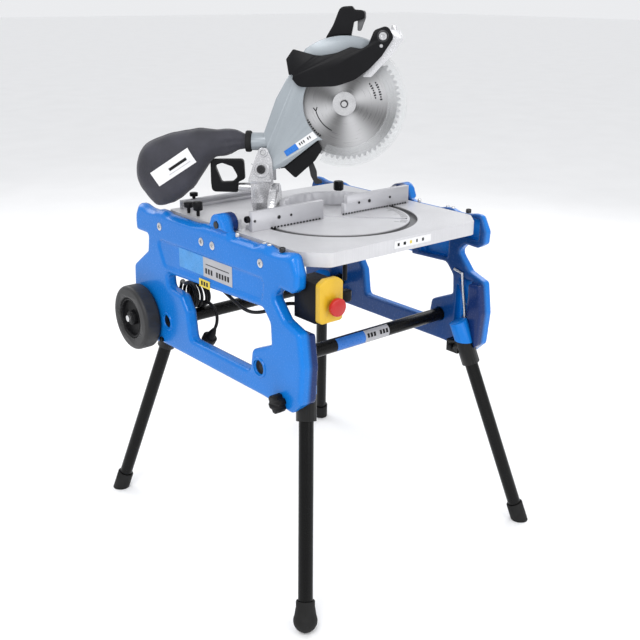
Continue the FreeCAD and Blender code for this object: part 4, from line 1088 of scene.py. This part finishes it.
def add_stand_details():
    for node in NODES:
        if node.startswith(("leg_socket", "wheel_tyre", "wheel_hub")):
            soften(node, 0.0022)
        elif node.startswith("leg_knob"):
            soften(node, 0.0020)
        elif node.startswith("leg_foot"):
            soften(node, 0.0025)
    soften("switch_box", 0.003, 3)
    soften("switch_cover", 0.0025, 3)
    soften("stop_button", 0.0030, 3)
    soften("cord_gland", 0.0008)
    face = -0.291

    def label_corners(start, end, top=0.7195, bottom=0.6720):
        return [(start, top), (end, top), (end, bottom), (start, bottom)]

    blue = [drawn(face, back, up) for back, up in label_corners(0.1265, 0.0250)]
    grey = [drawn(face, back, up) for back, up in label_corners(0.0250, -0.0880)]
    out = (-1, 0, 0)
    plate("frame_label_left", blue, "label_sky", "stand", out)
    plate("frame_label_right", grey, "label_grey", "stand", out)
    marks = []
    for k in range(9):
        if k != 3:
            marks.append((drawn(face - 0.0009, 0.0135 - 0.0108 * k, 0.6865), Vector((0, 0.0034, 0)),
                          Vector((0, 0, 0.0062)), Vector((-0.0001, 0, 0))))
    bars("frame_label_marks", marks, "print", "stand")
    line = (drawn(face - 0.0009, -0.031, 0.7020), Vector((0, 0.046, 0)), Vector((0, 0, 0.0010)),
            Vector((-0.0001, 0, 0)))
    bars("frame_label_line", [line], "print", "stand")
    low = -FRAME_FACE
    warning = [drawn(low, back, up) for back, up in label_corners(0.0383, -0.0053, 0.6655, 0.6465)]
    plate("warning_label", warning,
          "label_yellow", "stand", out)
    bars("warning_marks", [(drawn(low - 0.0009, 0.027 - 0.0105 * k, 0.656), Vector((0, 0.0034, 0)),
                            Vector((0, 0, 0.0052)), Vector((-0.0001, 0, 0))) for k in range(3)],
                            "print", "stand")
    for name, start, end, look in (("tube_band_blue", -0.083, 0.003, "label_blue"),
                                   ("tube_band_silver", 0.003, 0.079, "label_grey")):
        around = []
        tube = middle("cross_tube_front")
        rows, columns = 12, 8
        for i in range(columns + 1):
            around.append([])
            for j in range(rows + 1):
                turn = radians(105 + 115 * j / rows)
                around[-1].append((start + (end - start) * i / columns,
                                   tube.y + 0.0163 * cos(turn), tube.z + 0.0163 * sin(turn)))
        mesh = bpy.data.meshes.new(name)
        points = [p for row in around for p in row]
        step = rows + 1
        corners = [i * step + j for i in range(columns) for j in range(rows)]
        faces = [(corner, corner + 1, corner + step + 1, corner + step) for corner in corners]
        mesh.from_pydata(points, [], faces)
        mesh = applied(mesh, ("SOLIDIFY", {"thickness": 0.0004, "offset": 0.0}))
        add_piece(name, mesh, look, "stand", angle=40)
    band_marks = []
    turn = radians(160)
    way = Vector((0, cos(turn), sin(turn)))
    for k in range(7):
        if k != 3:
            place = Vector((0.012 + 0.0098 * k, tube.y, tube.z)) + way * 0.0166
            band_marks.append((place, Vector((0.0032, 0, 0)), way.cross(Vector((1, 0, 0))) * 0.0052,
                               way * 0.0003))
    bars("tube_band_marks", band_marks, "print", "stand")
    for word, side in (("left", -1), ("right", 1)):
        hub = middle("wheel_hub_" + word)
        lathe("hub_cap_" + word, [(0.0150, -0.003), (0.0150, 0.0004), (0.0138, 0.0018), (0.0090, 0.0024),
                                 (0.0, 0.0026)],
              (side * 0.3400, hub.y, hub.z), (side, 0, 0), "black_plastic", "wheel_" + word)


add_camera()
add_studio()
add_cord()
add_frames()
add_stand_details()
add_table()
add_swing_arm()
add_saw_head()
add_bag()
